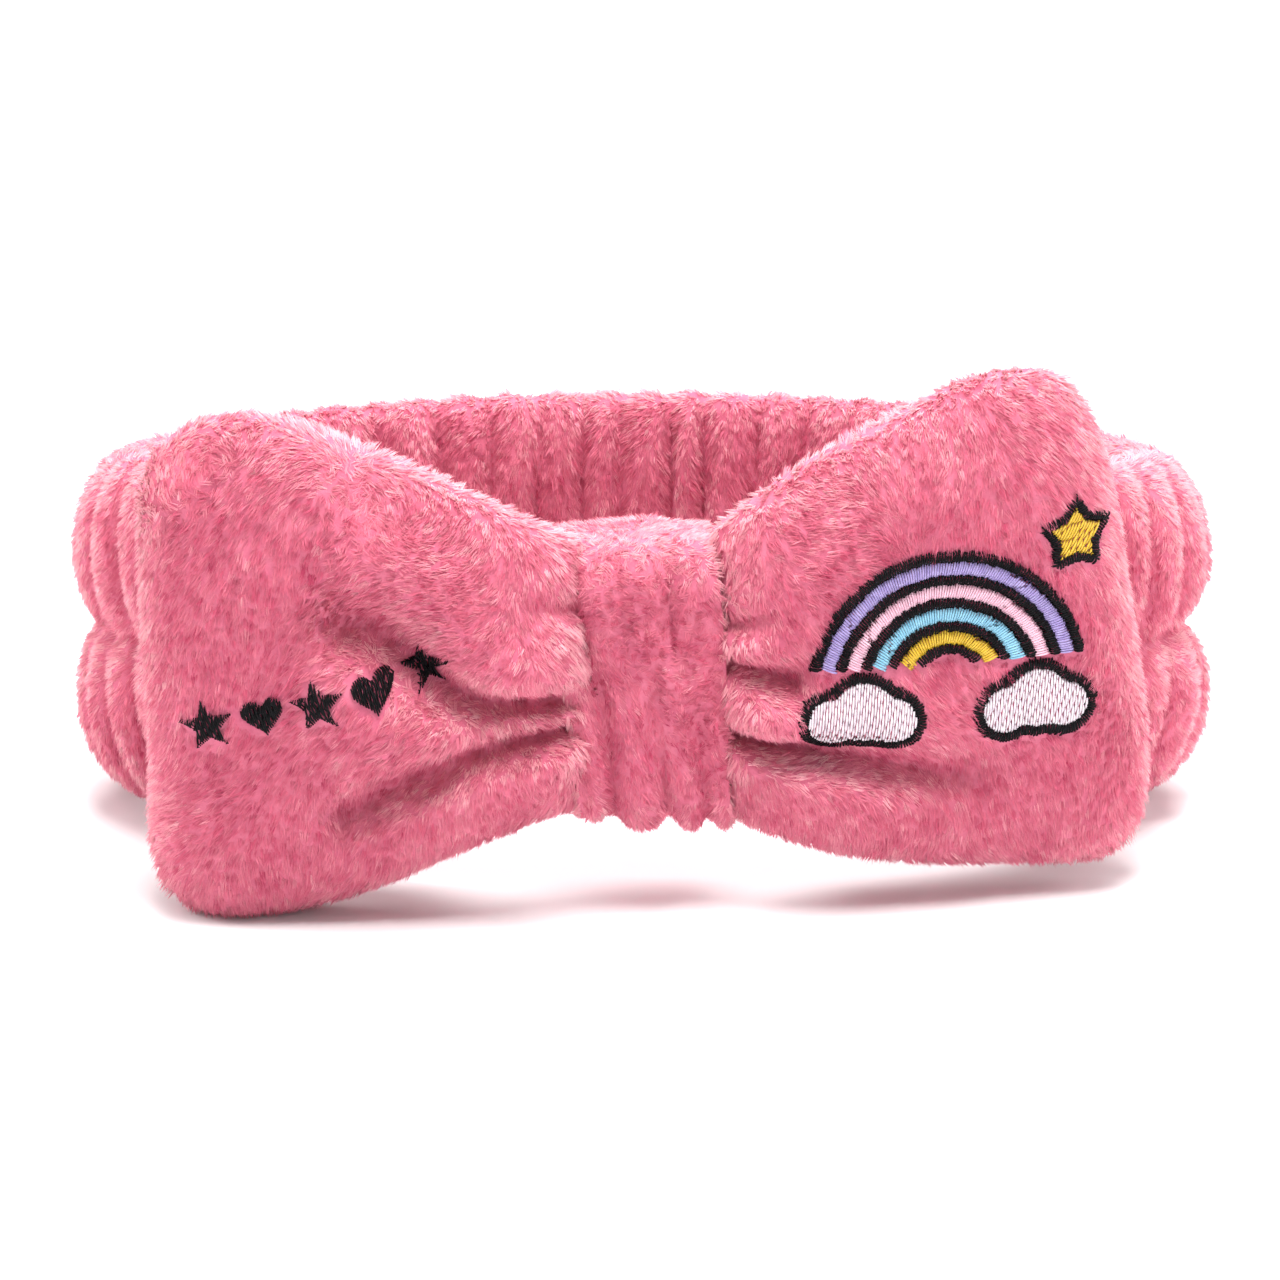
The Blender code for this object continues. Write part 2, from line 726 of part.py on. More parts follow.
def make_charms(parent):
    """A slanting row of small black hearts and stars."""
    middle = (CHARM_COUNT - 1) / 2
    for i in range(CHARM_COUNT):
        along = (i - middle) * CHARM_PITCH
        # On the left wing u runs leftwards, so the row climbs as u falls.
        centre = (
            CHARM_CENTRE[0] - along * math.cos(CHARM_SLOPE),
            CHARM_CENTRE[1] + along * math.sin(CHARM_SLOPE),
        )
        if i % 2 == 0:
            name, shape = f"black_star_{i // 2 + 1}", star(centre, CHARM_SIZE / 2, 0.45, 78.0)
        else:
            name, shape = f"black_heart_{i // 2 + 1}", heart(centre, CHARM_SIZE * 0.8, -12.0)
        patch(name, -1, shape, GAP, SATIN_HEIGHT, "thread_black", parent)


def make_backings(wings):
    """The non-woven sheet behind each embroidery, between the front panel and the wadding."""
    for side, label, (u, w), size in (
        (1, "right", (52 * MM, 1 * MM), (50 * MM, 36 * MM)),
        (-1, "left", (57 * MM, -3 * MM), (50 * MM, 24 * MM)),
    ):
        outline = round_rectangle(size[0], size[1], 5 * MM, 2)
        outline = [(u + a, w + b) for a, b in outline]
        lift = -FLEECE - 2 * GAP - STABILISER
        name = f"{label}_stabiliser"
        patch(name, side, outline, lift, STABILISER, "stabiliser", wings[label], 4 * MM)


def make_bow():
    wings = {}
    for side, label in ((1, "right"), (-1, "left")):
        hinge = bow_to_world(side, HINGE_U, 0.0, 0.0)
        wings[label] = add_pivot(f"{label}_wing_hinge", hinge)
        make_wing(side, label, wings[label])
    make_bow_centre()
    make_knot()
    make_rainbow(wings["right"])
    make_charms(wings["left"])
    make_backings(wings)


clear_scene()
PARTS = new_collection("spa_headband")
HELPERS = new_collection("helpers")
make_band()
make_band_threads()
make_bow()
for part in PARTS.objects:
    if part.type == "MESH":
        part.data.shade_smooth()
        part.data.set_sharp_from_angle(angle=math.radians(40))
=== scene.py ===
"""Looks of the spa headband: coral fleece with a deep pile, ruched on elastic, and a padded bow.

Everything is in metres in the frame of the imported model. Each fabric is a base cloth with its
pile grown on it as fine tapered fibres, and the embroidery is laid stitch by stitch.
"""

import math

import bpy
import numpy as np
from mathutils import Matrix, Vector
from mathutils.bvhtree import BVHTree


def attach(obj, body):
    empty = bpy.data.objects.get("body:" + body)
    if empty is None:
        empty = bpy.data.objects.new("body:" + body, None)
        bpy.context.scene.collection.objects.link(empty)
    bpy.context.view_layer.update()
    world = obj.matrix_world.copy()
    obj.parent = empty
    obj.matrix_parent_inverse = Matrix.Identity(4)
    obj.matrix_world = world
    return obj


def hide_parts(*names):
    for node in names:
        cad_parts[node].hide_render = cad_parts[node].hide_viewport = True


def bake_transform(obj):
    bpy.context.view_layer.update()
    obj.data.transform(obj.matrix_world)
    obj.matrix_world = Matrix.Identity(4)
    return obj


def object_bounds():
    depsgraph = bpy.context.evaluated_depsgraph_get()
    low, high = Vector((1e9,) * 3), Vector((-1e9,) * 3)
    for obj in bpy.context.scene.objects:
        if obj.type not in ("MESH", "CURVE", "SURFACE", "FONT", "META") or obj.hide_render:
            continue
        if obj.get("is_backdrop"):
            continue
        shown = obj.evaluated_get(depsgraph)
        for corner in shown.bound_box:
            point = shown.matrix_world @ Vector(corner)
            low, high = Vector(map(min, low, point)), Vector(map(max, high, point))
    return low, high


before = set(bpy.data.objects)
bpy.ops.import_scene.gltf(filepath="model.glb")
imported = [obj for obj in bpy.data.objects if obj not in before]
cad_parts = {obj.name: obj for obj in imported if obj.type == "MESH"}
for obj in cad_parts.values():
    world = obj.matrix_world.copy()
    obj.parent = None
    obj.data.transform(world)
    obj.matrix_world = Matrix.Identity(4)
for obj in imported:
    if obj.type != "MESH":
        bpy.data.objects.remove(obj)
CAD_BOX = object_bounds()

MM = 0.001

# ---- the frame's own numbers, as in the CAD model ----
LOOP_HALF_WIDTH = 95.4 * MM
LOOP_HALF_DEPTH = 44.0 * MM
LOOP_CENTRE_Y = 8.8 * MM
BAND_HEIGHT = 66.0 * MM
BOW_CENTRE_Z = 47.6 * MM
KNOT_DROP = 4.4 * MM
KNOT_CENTRE_Z = BOW_CENTRE_Z - KNOT_DROP
BACK_CENTRE_Z = BAND_HEIGHT / 2
SAG_STARTS_Y = 41.0 * MM
SAG_POWER = 2.0
JOIN_ANGLE = -40.6
FRONT_HEIGHT = 62.0 * MM
KNOT_SQUEEZE = 0.66
BOW_ROLL = math.radians(1.5)
BOW_YAW = math.radians(5.0)
BOW_CENTRE = Vector((2.0 * MM, LOOP_CENTRE_Y - LOOP_HALF_DEPTH - 9.6 * MM, BOW_CENTRE_Z))
WING_SWEEP = 5.0 * MM
KNOT_WIDTH = 31.0 * MM
KNOT_HEIGHT = 52.0 * MM
KNOT_DEPTH = 28.4 * MM
KNOT_CORNER = 9.0 * MM
KNOT_SETBACK = 5.0 * MM

SIDES = {"left": -1, "right": 1}
WAVES = 7  # plane waves in a soft_noise field


# ---- small helpers ----
def smooth(value, low, high):
    """0 below low, 1 above high and a smooth step between them."""
    share = np.clip((np.asarray(value, float) - low) / (high - low), 0.0, 1.0)
    return share * share * (3 - 2 * share)


BOW_TURN = Matrix.Rotation(BOW_YAW, 4, "Z") @ Matrix.Rotation(-BOW_ROLL, 4, "Y")
BOW = np.array(Matrix.Translation(BOW_CENTRE) @ BOW_TURN)


def bow_points(x, forward, up):
    """Arrays in the bow's frame (x across, forward, up) to points in the model's frame."""
    local = np.stack([x, -forward, up], axis=-1)
    return local @ BOW[:3, :3].T + BOW[:3, 3]


def soft_noise(points, scale, seed):
    """A smooth random field over points, about -1 to 1, from a few random plane waves."""
    rng = np.random.default_rng(seed)
    total = np.zeros(points.shape[:-1])
    for _ in range(WAVES):
        direction = rng.normal(size=points.shape[-1])
        direction *= 2 * math.pi / (scale * rng.uniform(0.7, 1.5)) / np.linalg.norm(direction)
        total += np.sin(points @ direction + rng.uniform(0, 2 * math.pi))
    return total / math.sqrt(WAVES)


def soft_vectors(points, scale, seed):
    """Three smooth random fields, as a vector at each point."""
    return np.stack([soft_noise(points, scale, seed + k) for k in range(3)], 1)


def run_length(line):
    """The length of a line of points up to each of them."""
    return np.concatenate([[0], np.cumsum(np.linalg.norm(np.diff(line, axis=0), axis=1))])


def unit(vectors):
    return vectors / np.maximum(np.linalg.norm(vectors, axis=-1, keepdims=True), 1e-12)


def add_object(name, data):
    obj = bpy.data.objects.new(name, data)
    bpy.context.scene.collection.objects.link(obj)
    return obj


def new_piece(name, points, faces, material, slots=None, normals=None):
    """A mesh object from arrays: faces is an (n, 3) or (n, 4) array of point numbers.

    normals, when given, has one shading direction for each corner of each face.
    """
    mesh = bpy.data.meshes.new(name)
    points = np.asarray(points, np.float32)
    faces = np.asarray(faces, np.int32)
    corners = faces.shape[1]
    mesh.vertices.add(len(points))
    mesh.vertices.foreach_set("co", points.ravel())
    mesh.loops.add(faces.size)
    mesh.loops.foreach_set("vertex_index", faces.ravel())
    mesh.polygons.add(len(faces))
    mesh.polygons.foreach_set("loop_start", np.arange(0, faces.size, corners, dtype=np.int32))
    if slots is not None:
        mesh.polygons.foreach_set("material_index", np.asarray(slots, np.int32))
    mesh.update()
    mesh.validate()
    mesh.polygons.foreach_set("use_smooth", np.ones(len(mesh.polygons), bool))
    if normals is not None:
        mesh.normals_split_custom_set(normals)
    for one in material if isinstance(material, list) else [material]:
        mesh.materials.append(one)
    return add_object(name, mesh)


def grid_faces(rows, columns, wrap_rows=False, wrap_columns=False):
    """Quads of a grid of points, row after row."""
    r = np.arange(rows if wrap_rows else rows - 1)
    c = np.arange(columns if wrap_columns else columns - 1)
    r, c = np.meshgrid(r, c, indexing="ij")
    r2, c2 = (r + 1) % rows, (c + 1) % columns
    quads = np.stack([r * columns + c, r2 * columns + c, r2 * columns + c2, r * columns + c2], -1)
    return quads.reshape(-1, 4)


# ---- materials ----
def linear(code):
    """A hex colour code as the linear colour that Blender's sockets take."""
    channels = [int(code[i : i + 2], 16) / 255 for i in (0, 2, 4)]
    rgb = [c / 12.92 if c <= 0.04045 else ((c + 0.055) / 1.055) ** 2.4 for c in channels]
    return (*rgb, 1.0)


def new_material(name, roughness):
    material = bpy.data.materials.new(name)
    material.use_nodes = True
    shader = material.node_tree.nodes["Principled BSDF"]
    shader.inputs["Roughness"].default_value = roughness
    return material, material.node_tree, shader


def node(tree, kind, **values):
    made = tree.nodes.new(kind)
    for key, value in values.items():
        if key in made.inputs:
            made.inputs[key].default_value = value
        else:
            setattr(made, key, value)
    return made


def add_sheen(shader, weight, roughness, tint):
    shader.inputs["Sheen Weight"].default_value = weight
    shader.inputs["Sheen Roughness"].default_value = roughness
    shader.inputs["Sheen Tint"].default_value = linear(tint)


def mottled(tree, shader, dark, light, scale):
    """Makes the base colour wander between two shades, and returns the coordinates for more."""
    place = node(tree, "ShaderNodeTexCoord").outputs["Object"]
    noise = node(tree, "ShaderNodeTexNoise", Scale=scale, Detail=3.0, Roughness=0.6)
    ramp = node(tree, "ShaderNodeValToRGB")
    for stop, position, shade in zip(ramp.color_ramp.elements, (0.32, 0.68), (dark, light)):
        stop.position = position
        stop.color = linear(shade)
    tree.links.new(place, noise.inputs["Vector"])
    tree.links.new(noise.outputs["Fac"], ramp.inputs["Fac"])
    tree.links.new(ramp.outputs["Color"], shader.inputs["Base Color"])
    return place


def textile(name, roughness, shades, scale, strength, distance, kind, **texture):
    """A material in two shades, with the bump of one texture node of the given kind."""
    material, tree, shader = new_material(name, roughness)
    place = mottled(tree, shader, *shades, scale)
    relief = node(tree, kind, **texture)
    bump = node(tree, "ShaderNodeBump", Strength=strength, Distance=distance)
    tree.links.new(place, relief.inputs["Vector"])
    tree.links.new(relief.outputs["Fac"], bump.inputs["Height"])
    tree.links.new(bump.outputs["Normal"], shader.inputs["Normal"])
    return material, shader


def cloth_material():
    """The knitted ground of the fleece, seen between the roots of the pile. Its shades are a little
    darker than most of the pile, as painted shade in the gaps between tufts.
    """
    grain = {"kind": "ShaderNodeTexNoise", "Scale": 1400.0, "Detail": 4.0, "Roughness": 0.7}
    # Painted shade: the ground is darker than most of the pile, so the gaps between tufts read as
    # shade.
    shades = ("CE6480", "DC7890")
    material, shader = textile("fleece_ground", 0.95, shades, 260.0, 0.6, 0.5 * MM, **grain)
    add_sheen(shader, 0.15, 0.5, "F7A9BF")
    return material


def pile_material(name, colour, sheen_tint):
    """Soft fibre: hardly any gloss and a strong sheen."""
    material, _, shader = new_material(name, 0.85)
    shader.inputs["Base Color"].default_value = linear(colour)
    shader.inputs["Specular IOR Level"].default_value = 0.1
    add_sheen(shader, 0.55, 0.4, sheen_tint)
    return material


def thread_material(name, dark, light, roughness, gloss=0.5):
    """Shiny twisted thread."""
    twist = {"kind": "ShaderNodeTexWave", "Scale": 900.0, "Distortion": 2.0, "Detail": 2.0}
    twist["bands_direction"] = "DIAGONAL"
    shades = (dark, light)
    material, shader = textile(name, roughness, shades, 900.0, 0.35, 0.1 * MM, **twist)
    shader.inputs["Specular IOR Level"].default_value = gloss
    return material


def tape_material():
    """Woven elastic: fine lengthwise ribs."""
    ribs = {"kind": "ShaderNodeTexWave", "Scale": 320.0, "Distortion": 0.4, "bands_direction": "Z"}
    return textile("elastic_tape", 0.8, ("D9D4D2", "F5F2F0"), 500.0, 0.8, 0.4 * MM, **ribs)[0]


CLOTH = cloth_material()
# The pile's shades from darkest to palest: name, colour and tint of the sheen. Random streaks pick
# among them, and they also carry painted shade in hollows and painted light on ridges and on faces
# that turn up or sideways.
PILE = [
    pile_material(f"pile_{name}", colour, tint)
    for name, colour, tint in (
        ("shade", "C24C6B", "FFB4BC"),
        ("deep", "D05F7B", "FFC4CA"),
        ("rose", "DB7089", "FFD0D4"),
        ("pink", "E37F95", "FFDADC"),
        ("light", "EC96A6", "FFE0E2"),
        ("pale", "F4AEB8", "FFE6E7"),
    )
]
PINK_THREAD = thread_material("pink_thread", "C9526F", "DE708B", 0.55)
TAPE = tape_material()
# The embroidery's threads: darker and lighter shade, roughness and gloss.
THREADS = {
    colour: thread_material(f"{colour}_thread", *look)
    for colour, *look in (
        ("black", "0A090B", "151317", 0.55, 0.12),
        ("white", "D9CCD6", "EEE4EA", 0.45, 0.3),
        ("rose", "EBB3C8", "F6C9DA", 0.4),
        ("blue", "7FBAD6", "98CDE3", 0.4),
        ("lavender", "9B88C4", "B3A2D4", 0.4),
        ("yellow", "CFA521", "E2BE3C", 0.4),
    )
}


# ---- pile ----
PILE_INSET = 1.4 * MM  # how far the cloth lies inside the CAD model, to leave room for its pile
FIBRES = 8  # in each tuft
FIBRE_RADIUS = 0.13 * MM
TUFT_PITCH = 1.05 * MM
TUFT_SPREAD = 0.68
ROOT_DEPTH = 0.25 * MM
SWIRL_SIZE = 26 * MM
ROW_SIZE = 1.5 * MM
RIPPLE_SIZE = 1.9 * MM
LEAN, ROW_LEAN = 62, 7  # degrees from upright, and how much that varies in rows
FULL_BEND = 420.0  # the roundness, per metre, that counts as a clear ridge
BODY = 1.2  # how round each fibre is shaded, beside the cloth's own roundness


def mesh_arrays(mesh):
    """Every point's place and normal."""
    places = np.empty(len(mesh.vertices) * 3, np.float32)
    normals = np.empty(len(mesh.vertices) * 3, np.float32)
    mesh.vertices.foreach_get("co", places)
    mesh.vertex_normals.foreach_get("vector", normals)
    return places.reshape(-1, 3), normals.reshape(-1, 3)


def corner_arrays(mesh):
    """The places, normals and numbers of the points at each triangle's corners."""
    mesh.calc_loop_triangles()
    corners = np.empty(len(mesh.loop_triangles) * 3, np.int32)
    mesh.loop_triangles.foreach_get("vertices", corners)
    corners = corners.reshape(-1, 3)
    places, normals = (a[corners].astype(float) for a in mesh_arrays(mesh))
    return places, normals, corners


def roundness(mesh):
    """How much a mesh bulges at each of its points, per metre. Hollows are negative."""
    edges = np.empty(len(mesh.edges) * 2, np.int32)
    mesh.edges.foreach_get("vertices", edges)
    one, two = edges.reshape(-1, 2).T
    places, normals = mesh_arrays(mesh)
    apart = places[two] - places[one]
    bend = ((normals[two] - normals[one]) * apart).sum(1) / np.maximum((apart**2).sum(1), 1e-9)
    near = np.bincount(one, minlength=len(places)) + np.bincount(two, minlength=len(places))

    def spread(at_one, at_two):
        total = np.bincount(one, at_one, len(places)) + np.bincount(two, at_two, len(places))
        return total / np.maximum(near, 1)

    bend = spread(bend, bend)
    for _ in range(3):
        bend = 0.4 * bend + 0.6 * spread(bend[two], bend[one])
    return bend


def grow_pile(name, base, length, seed, keep, comb=(0, 0, -1), ends=0.0):
    """Fine fibres on a piece, in loose tufts. Each is a three-sided spike rooted under the cloth.

    keep(points) says where pile grows and comb is the way it has been brushed. The pile is painted
    paler where it faces up, and a little where it faces down, as painted light; ends adds that
    painted light where the cloth turns sideways.
    """
    rng = np.random.default_rng(seed)
    places, normals, corners = corner_arrays(base.data)
    bend = roundness(base.data)[corners]
    across = np.cross(places[:, 1] - places[:, 0], places[:, 2] - places[:, 0])
    areas = 0.5 * np.linalg.norm(across, axis=1)

    # Roots are drawn at random, and only one is kept in each cell of a grid, to space them evenly.
    count = int(4 * areas.sum() / TUFT_PITCH**2)
    picked = np.searchsorted(np.cumsum(areas), rng.uniform(0, areas.sum(), count))
    picked = np.minimum(picked, len(areas) - 1)
    a, b = rng.uniform(size=(2, count))
    over = a + b > 1
    a[over], b[over] = 1 - a[over], 1 - b[over]
    share = np.stack([1 - a - b, a, b], 1)[..., None]
    roots = (places[picked] * share).sum(1)
    cells = np.floor(roots / (1.12 * TUFT_PITCH)).astype(int)
    first = np.unique(cells, axis=0, return_index=True)[1]
    roots, picked, share = roots[first], picked[first], share[first]
    normal = unit((normals[picked] * share).sum(1))
    # Hollows hold shorter pile than ridges; tone also paints the pile darker in hollows and paler
    # on ridges, as painted shade and painted highlight.
    tone = np.tanh((bend[picked] * share[..., 0]).sum(1) / FULL_BEND)
    kept = keep(roots)
    roots, normal, tone = roots[kept], normal[kept], tone[kept]
    count = len(roots)

    # Each tuft leans along the brushed direction, which swirls from place to place.
    swirl = soft_vectors(roots, SWIRL_SIZE, seed + 1)
    along = np.asarray(comb, float) + 0.5 * swirl + rng.normal(scale=0.15, size=(count, 3))
    along = unit(along - (along * normal).sum(1, keepdims=True) * normal)
    rows = soft_noise(roots, ROW_SIZE, seed + 5)
    lean = np.radians(LEAN + ROW_LEAN * rows + rng.uniform(-5, 5, count))[:, None]
    reach = length * (rng.uniform(0.85, 1.15, count) * (1 + 0.3 * np.minimum(tone, 0.3)))[:, None]
    growth = (normal * np.cos(lean) + along * np.sin(lean)) * reach

    def each(values):
        return np.repeat(values, FIBRES, axis=0)

    total = count * FIBRES
    side = unit(np.cross(each(normal), rng.normal(size=(total, 3))))
    spread = side * TUFT_SPREAD * TUFT_PITCH * np.sqrt(rng.uniform(size=total))[:, None]
    foot = each(roots) + spread
    growth = each(growth) * rng.uniform(0.75, 1.1, total)[:, None]
    tip = foot + growth - 0.3 * spread + rng.normal(scale=0.12 * MM, size=(total, 3))
    foot -= each(normal) * ROOT_DEPTH

    axis = unit(tip - foot)
    first = unit(np.cross(axis, each(normal) + rng.normal(scale=0.5, size=(total, 3))))
    second = np.cross(axis, first)
    radius = FIBRE_RADIUS * rng.uniform(0.75, 1.25, total)[:, None]
    # The cloth's own roundness and the tufts' ripples shade the pile, which keeps it soft.
    ripple = soft_vectors(roots, RIPPLE_SIZE, seed + 6)
    ripple -= (ripple * normal).sum(1, keepdims=True) * normal
    soft = unit(each(normal + 0.75 * ripple) + 0.2 * first * rng.normal(size=(total, 1)))
    turn = rng.uniform(0, 2 * math.pi, total)[:, None]
    angles = [turn + k * 2 * math.pi / 3 for k in range(3)]
    bent = [first * np.cos(angle) + second * np.sin(angle) for angle in angles]
    points = np.stack([*(foot + outwards * radius for outwards in bent), tip], 1).reshape(-1, 3)
    points[:, 2] = np.maximum(points[:, 2], 0.1 * MM)
    shading = []
    for a, b in zip(bent, bent[1:] + bent[:1]):
        shading += [soft + BODY * a, soft + BODY * b, soft + BODY * (a + b) + 0.3 * axis]
    shading = unit(np.stack(shading, 1).reshape(-1, 3))
    corner = np.arange(total)[:, None] * 4
    faces = np.stack([corner + k for k in ([0, 1, 3], [1, 2, 3], [2, 0, 3])], 1).reshape(-1, 3)

    # Tufts take their shade in rows, streaks and patches, and each fibre varies a little more. The
    # shade also holds painted shade and painted light: darker in hollows, paler on ridges and where
    # the pile faces up or sideways.
    streak = soft_noise(roots, 4.5 * MM, seed + 9) * 0.35
    streak = streak + soft_noise(roots, 15 * MM, seed + 8) * 0.25
    # Painted light: the pile is paler where it faces up, a little paler where it faces down, and
    # with ends paler where the cloth turns sideways.
    turned = np.maximum(normal[:, 2], -0.4 * normal[:, 2]) + ends * normal[:, 0] ** 2
    # tone is painted shade in hollows and painted highlight on ridges, turned is painted light, and
    # streak, rows and the noise are the pile's own uneven tone.
    shade = 2.2 + streak + 0.95 * rows + 2.1 * tone + 2.7 * turned
    shade = shade + rng.normal(scale=0.2, size=count)
    shade = each(shade) + rng.normal(scale=0.22, size=total)
    slots = np.clip(np.floor(shade), 0, len(PILE) - 1).astype(int)
    return new_piece(name, points, faces, PILE, np.repeat(slots, 3), shading)


# ---- the loop ----
def loop_frame(angles):
    """Middle line, outward direction and section's up direction at angles in degrees."""
    a = np.radians(angles)
    knot_y = LOOP_CENTRE_Y - LOOP_HALF_DEPTH

    def middle(b):
        """The middle line, which rises to the knot at the front."""
        y = LOOP_CENTRE_Y + LOOP_HALF_DEPTH * np.sin(b)
        share = np.clip((SAG_STARTS_Y - y) / (SAG_STARTS_Y - knot_y), 0.0, 1.0)
        z = BACK_CENTRE_Z + (KNOT_CENTRE_Z - BACK_CENTRE_Z) * share**SAG_POWER
        return np.stack([LOOP_HALF_WIDTH * np.cos(b), y, z], -1)

    out = unit(np.stack([np.cos(a) / LOOP_HALF_WIDTH, np.sin(a) / LOOP_HALF_DEPTH, 0 * a], -1))
    tangent = unit(middle(a + 1e-4) - middle(a - 1e-4))
    return middle(a), out, unit(np.cross(out, tangent))


def even_angles(count):
    """Angles round the whole loop at even steps of length, and the length up to each."""
    fine = np.linspace(-90.0, 270.0, 4001)
    length = run_length(loop_frame(fine)[0])
    steps = np.linspace(0, length[-1], count, endpoint=False)
    return np.interp(steps, length, fine), steps


def fold_phase(length, pitch, seed):
    """The phase of irregular folds along the loop, one turn of 2 pi each, and each fold's depth."""
    rng = np.random.default_rng(seed)
    widths = pitch * rng.uniform(0.75, 1.3, 200)
    edges = np.concatenate([[0], np.cumsum(widths)])
    phase = np.interp(length, edges, 2 * math.pi * np.arange(len(edges)))
    depth = np.interp(length, edges[:-1] + widths / 2, rng.uniform(0.65, 1.25, 200))
    return phase, depth


LOBE_THICKNESS = 0.215  # half a lobe's thickness, as a share of half the band's height
LOBE_SWELL = 0.28  # at the ends of the loop
HEM_CURL = 4.2 * MM
PINCH_THICKNESS = 2.2 * MM
PLAIN_THICKNESS = 3.7 * MM
FOLD_PITCH = 8.4 * MM
LEAST_Z = 0.7 * MM
BAND_RINGS, RING_POINTS = 520, 76


def band_surface(angles, length, around):
    """Points of the loop's cloth. around runs round the section: 0 is its top, outer side first."""
    middle, out, up = loop_frame(angles)
    turn = around + 0.17 * np.sin(2 * around)
    q = np.cos(turn)[None, :]
    side = np.sign(np.sin(turn))[None, :]
    s = length[:, None]
    # The front section is plain, and the knot squeezes it in the middle.
    from_front = np.abs(np.mod(angles + 90 + 180, 360) - 180)[:, None]
    ruched = smooth(from_front, 90 + JOIN_ANGLE - 3.0, 90 + JOIN_ANGLE + 2.0)
    squeeze = KNOT_SQUEEZE + (1 - KNOT_SQUEEZE) * smooth(from_front, 11, 26)

    def rounded(power):
        return np.sqrt(np.clip(1 - q**power, 0, 1))

    lobe = np.sqrt(np.clip(1 - ((np.abs(q) - 0.5) / 0.5) ** 2, 0, 1)) ** 0.85
    pinch = PINCH_THICKNESS * rounded(8)
    full = (BAND_HEIGHT / 2) * LOBE_THICKNESS - PILE_INSET
    full = full * (1 + 0.10 * np.sin(s / (13 * MM) + 2.1 * side) * np.cos(q * 2 + s / (29 * MM)))
    # At the ends of the loop the lobes swell and the hems curl inwards.
    end = (np.cos(np.radians(angles)) ** 2)[:, None]
    full = full * (1 + LOBE_SWELL * end)
    curl = -HEM_CURL * np.abs(q) ** 3 * end * ruched
    thick = np.sqrt((full * lobe) ** 2 + pinch**2)

    # The outer and the inner face have their own folds.
    offset = 0.0
    for way, seed in ((1, 11), (-1, 23)):
        phase, depth = fold_phase(length, FOLD_PITCH, seed)
        wander = 0.8 * np.sin(1.9 * q + s / (17 * MM) + seed)
        wander = wander + 0.35 * np.sin(5.1 * q + s / (9 * MM))
        fold = np.abs(np.sin((phase[:, None] + wander) / 2)) ** 0.75
        folded = (fold - 0.62) * depth[:, None] * 3.0 * MM
        offset = np.where(side == way, folded, offset)
    weight = (1 - 0.55 * np.abs(q) ** 5) * (0.35 + 0.65 * smooth(np.abs(q), 0.04, 0.3))
    thick_ruched = thick + offset * weight * rounded(12)
    half_ruched = BAND_HEIGHT / 2 - PILE_INSET + offset * 0.35

    pleat = 0.8 * MM * np.sin(q * 9 + 1.3 * side + np.sin(s / (21 * MM))) * (1 - squeeze) / 0.29
    flat = (PLAIN_THICKNESS - 0.8 * PILE_INSET) * rounded(10) * squeeze**0.5
    thick_plain = flat + pleat * np.clip(1 - q**6, 0, 1)
    half_plain = (FRONT_HEIGHT / 2 - 0.6 * PILE_INSET) * squeeze

    thick = thick_plain + (thick_ruched - thick_plain) * ruched
    half = half_plain + (half_ruched - half_plain) * ruched
    reach = side * thick + curl
    places = middle[:, None] + out[:, None] * reach[..., None]
    places = places + up[:, None] * (q * half)[..., None]
    places[..., 2] = np.maximum(places[..., 2], LEAST_Z)
    return places


def make_band():
    angles, length = even_angles(BAND_RINGS)
    around = np.linspace(0, 2 * math.pi, RING_POINTS, endpoint=False) + 0.02
    places = band_surface(angles, length, around)
    faces = grid_faces(BAND_RINGS, RING_POINTS, True, True)[:, ::-1]
    band = new_piece("ruched_loop", places.reshape(-1, 3), faces, CLOTH)
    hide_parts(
        "ruched_sleeve_left", "ruched_sleeve_back", "ruched_sleeve_right", "front_band_sleeve"
    )
    return band


def elastic_angles(count, margin=0.0):
    """Angles from one join round the back of the loop to the other, at even steps of length."""
    angles, length = even_angles(4000)
    inside = (angles > JOIN_ANGLE + margin) & (angles < 180 - JOIN_ANGLE - margin)
    angles, length = angles[inside], length[inside]
    steps = np.linspace(length[0], length[-1], count)
    return np.interp(steps, length, angles), steps


def make_elastic():
    """The flat elastic in the sleeve's channel, gently waved where the gathers hold it."""
    angles, length = elastic_angles(260)
    middle, out, up = loop_frame(angles)
    outer = [(0.5, 6), (0.6, 5.6), (0.6, -5.6), (0.5, -6)]
    corners = outer + [(-a, -b) for a, b in outer]
    wave = 0.15 * MM * np.sin(length / (2.1 * MM))
    rings = [middle + out * (wave + a * MM)[:, None] + up * b * MM for a, b in corners]
    points = np.stack(rings, 1)
    rows, columns = points.shape[:2]
    faces = grid_faces(rows, columns, False, True)
    ends = np.array([[0, 1, 6, 7], [1, 2, 5, 6], [2, 3, 4, 5]])
    faces = np.vstack([faces, ends, ends[:, ::-1] + (rows - 1) * columns])
    tape = new_piece("channel_elastic", points.reshape(-1, 3), faces, TAPE)
    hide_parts("elastic_left", "elastic_back", "elastic_right")
    across_stretch(tape)


SEAM_POINTS = 1500
SEAM_STITCH, SEAM_GAP = 2.4 * MM, 0.9 * MM


def loop_seam(name, runs, radius, *nodes):
    """Pink thread on the loop, in place of CAD nodes."""
    seam = tube_mesh(name, runs, radius, PINK_THREAD)
    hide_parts(*nodes)
    across_stretch(seam)


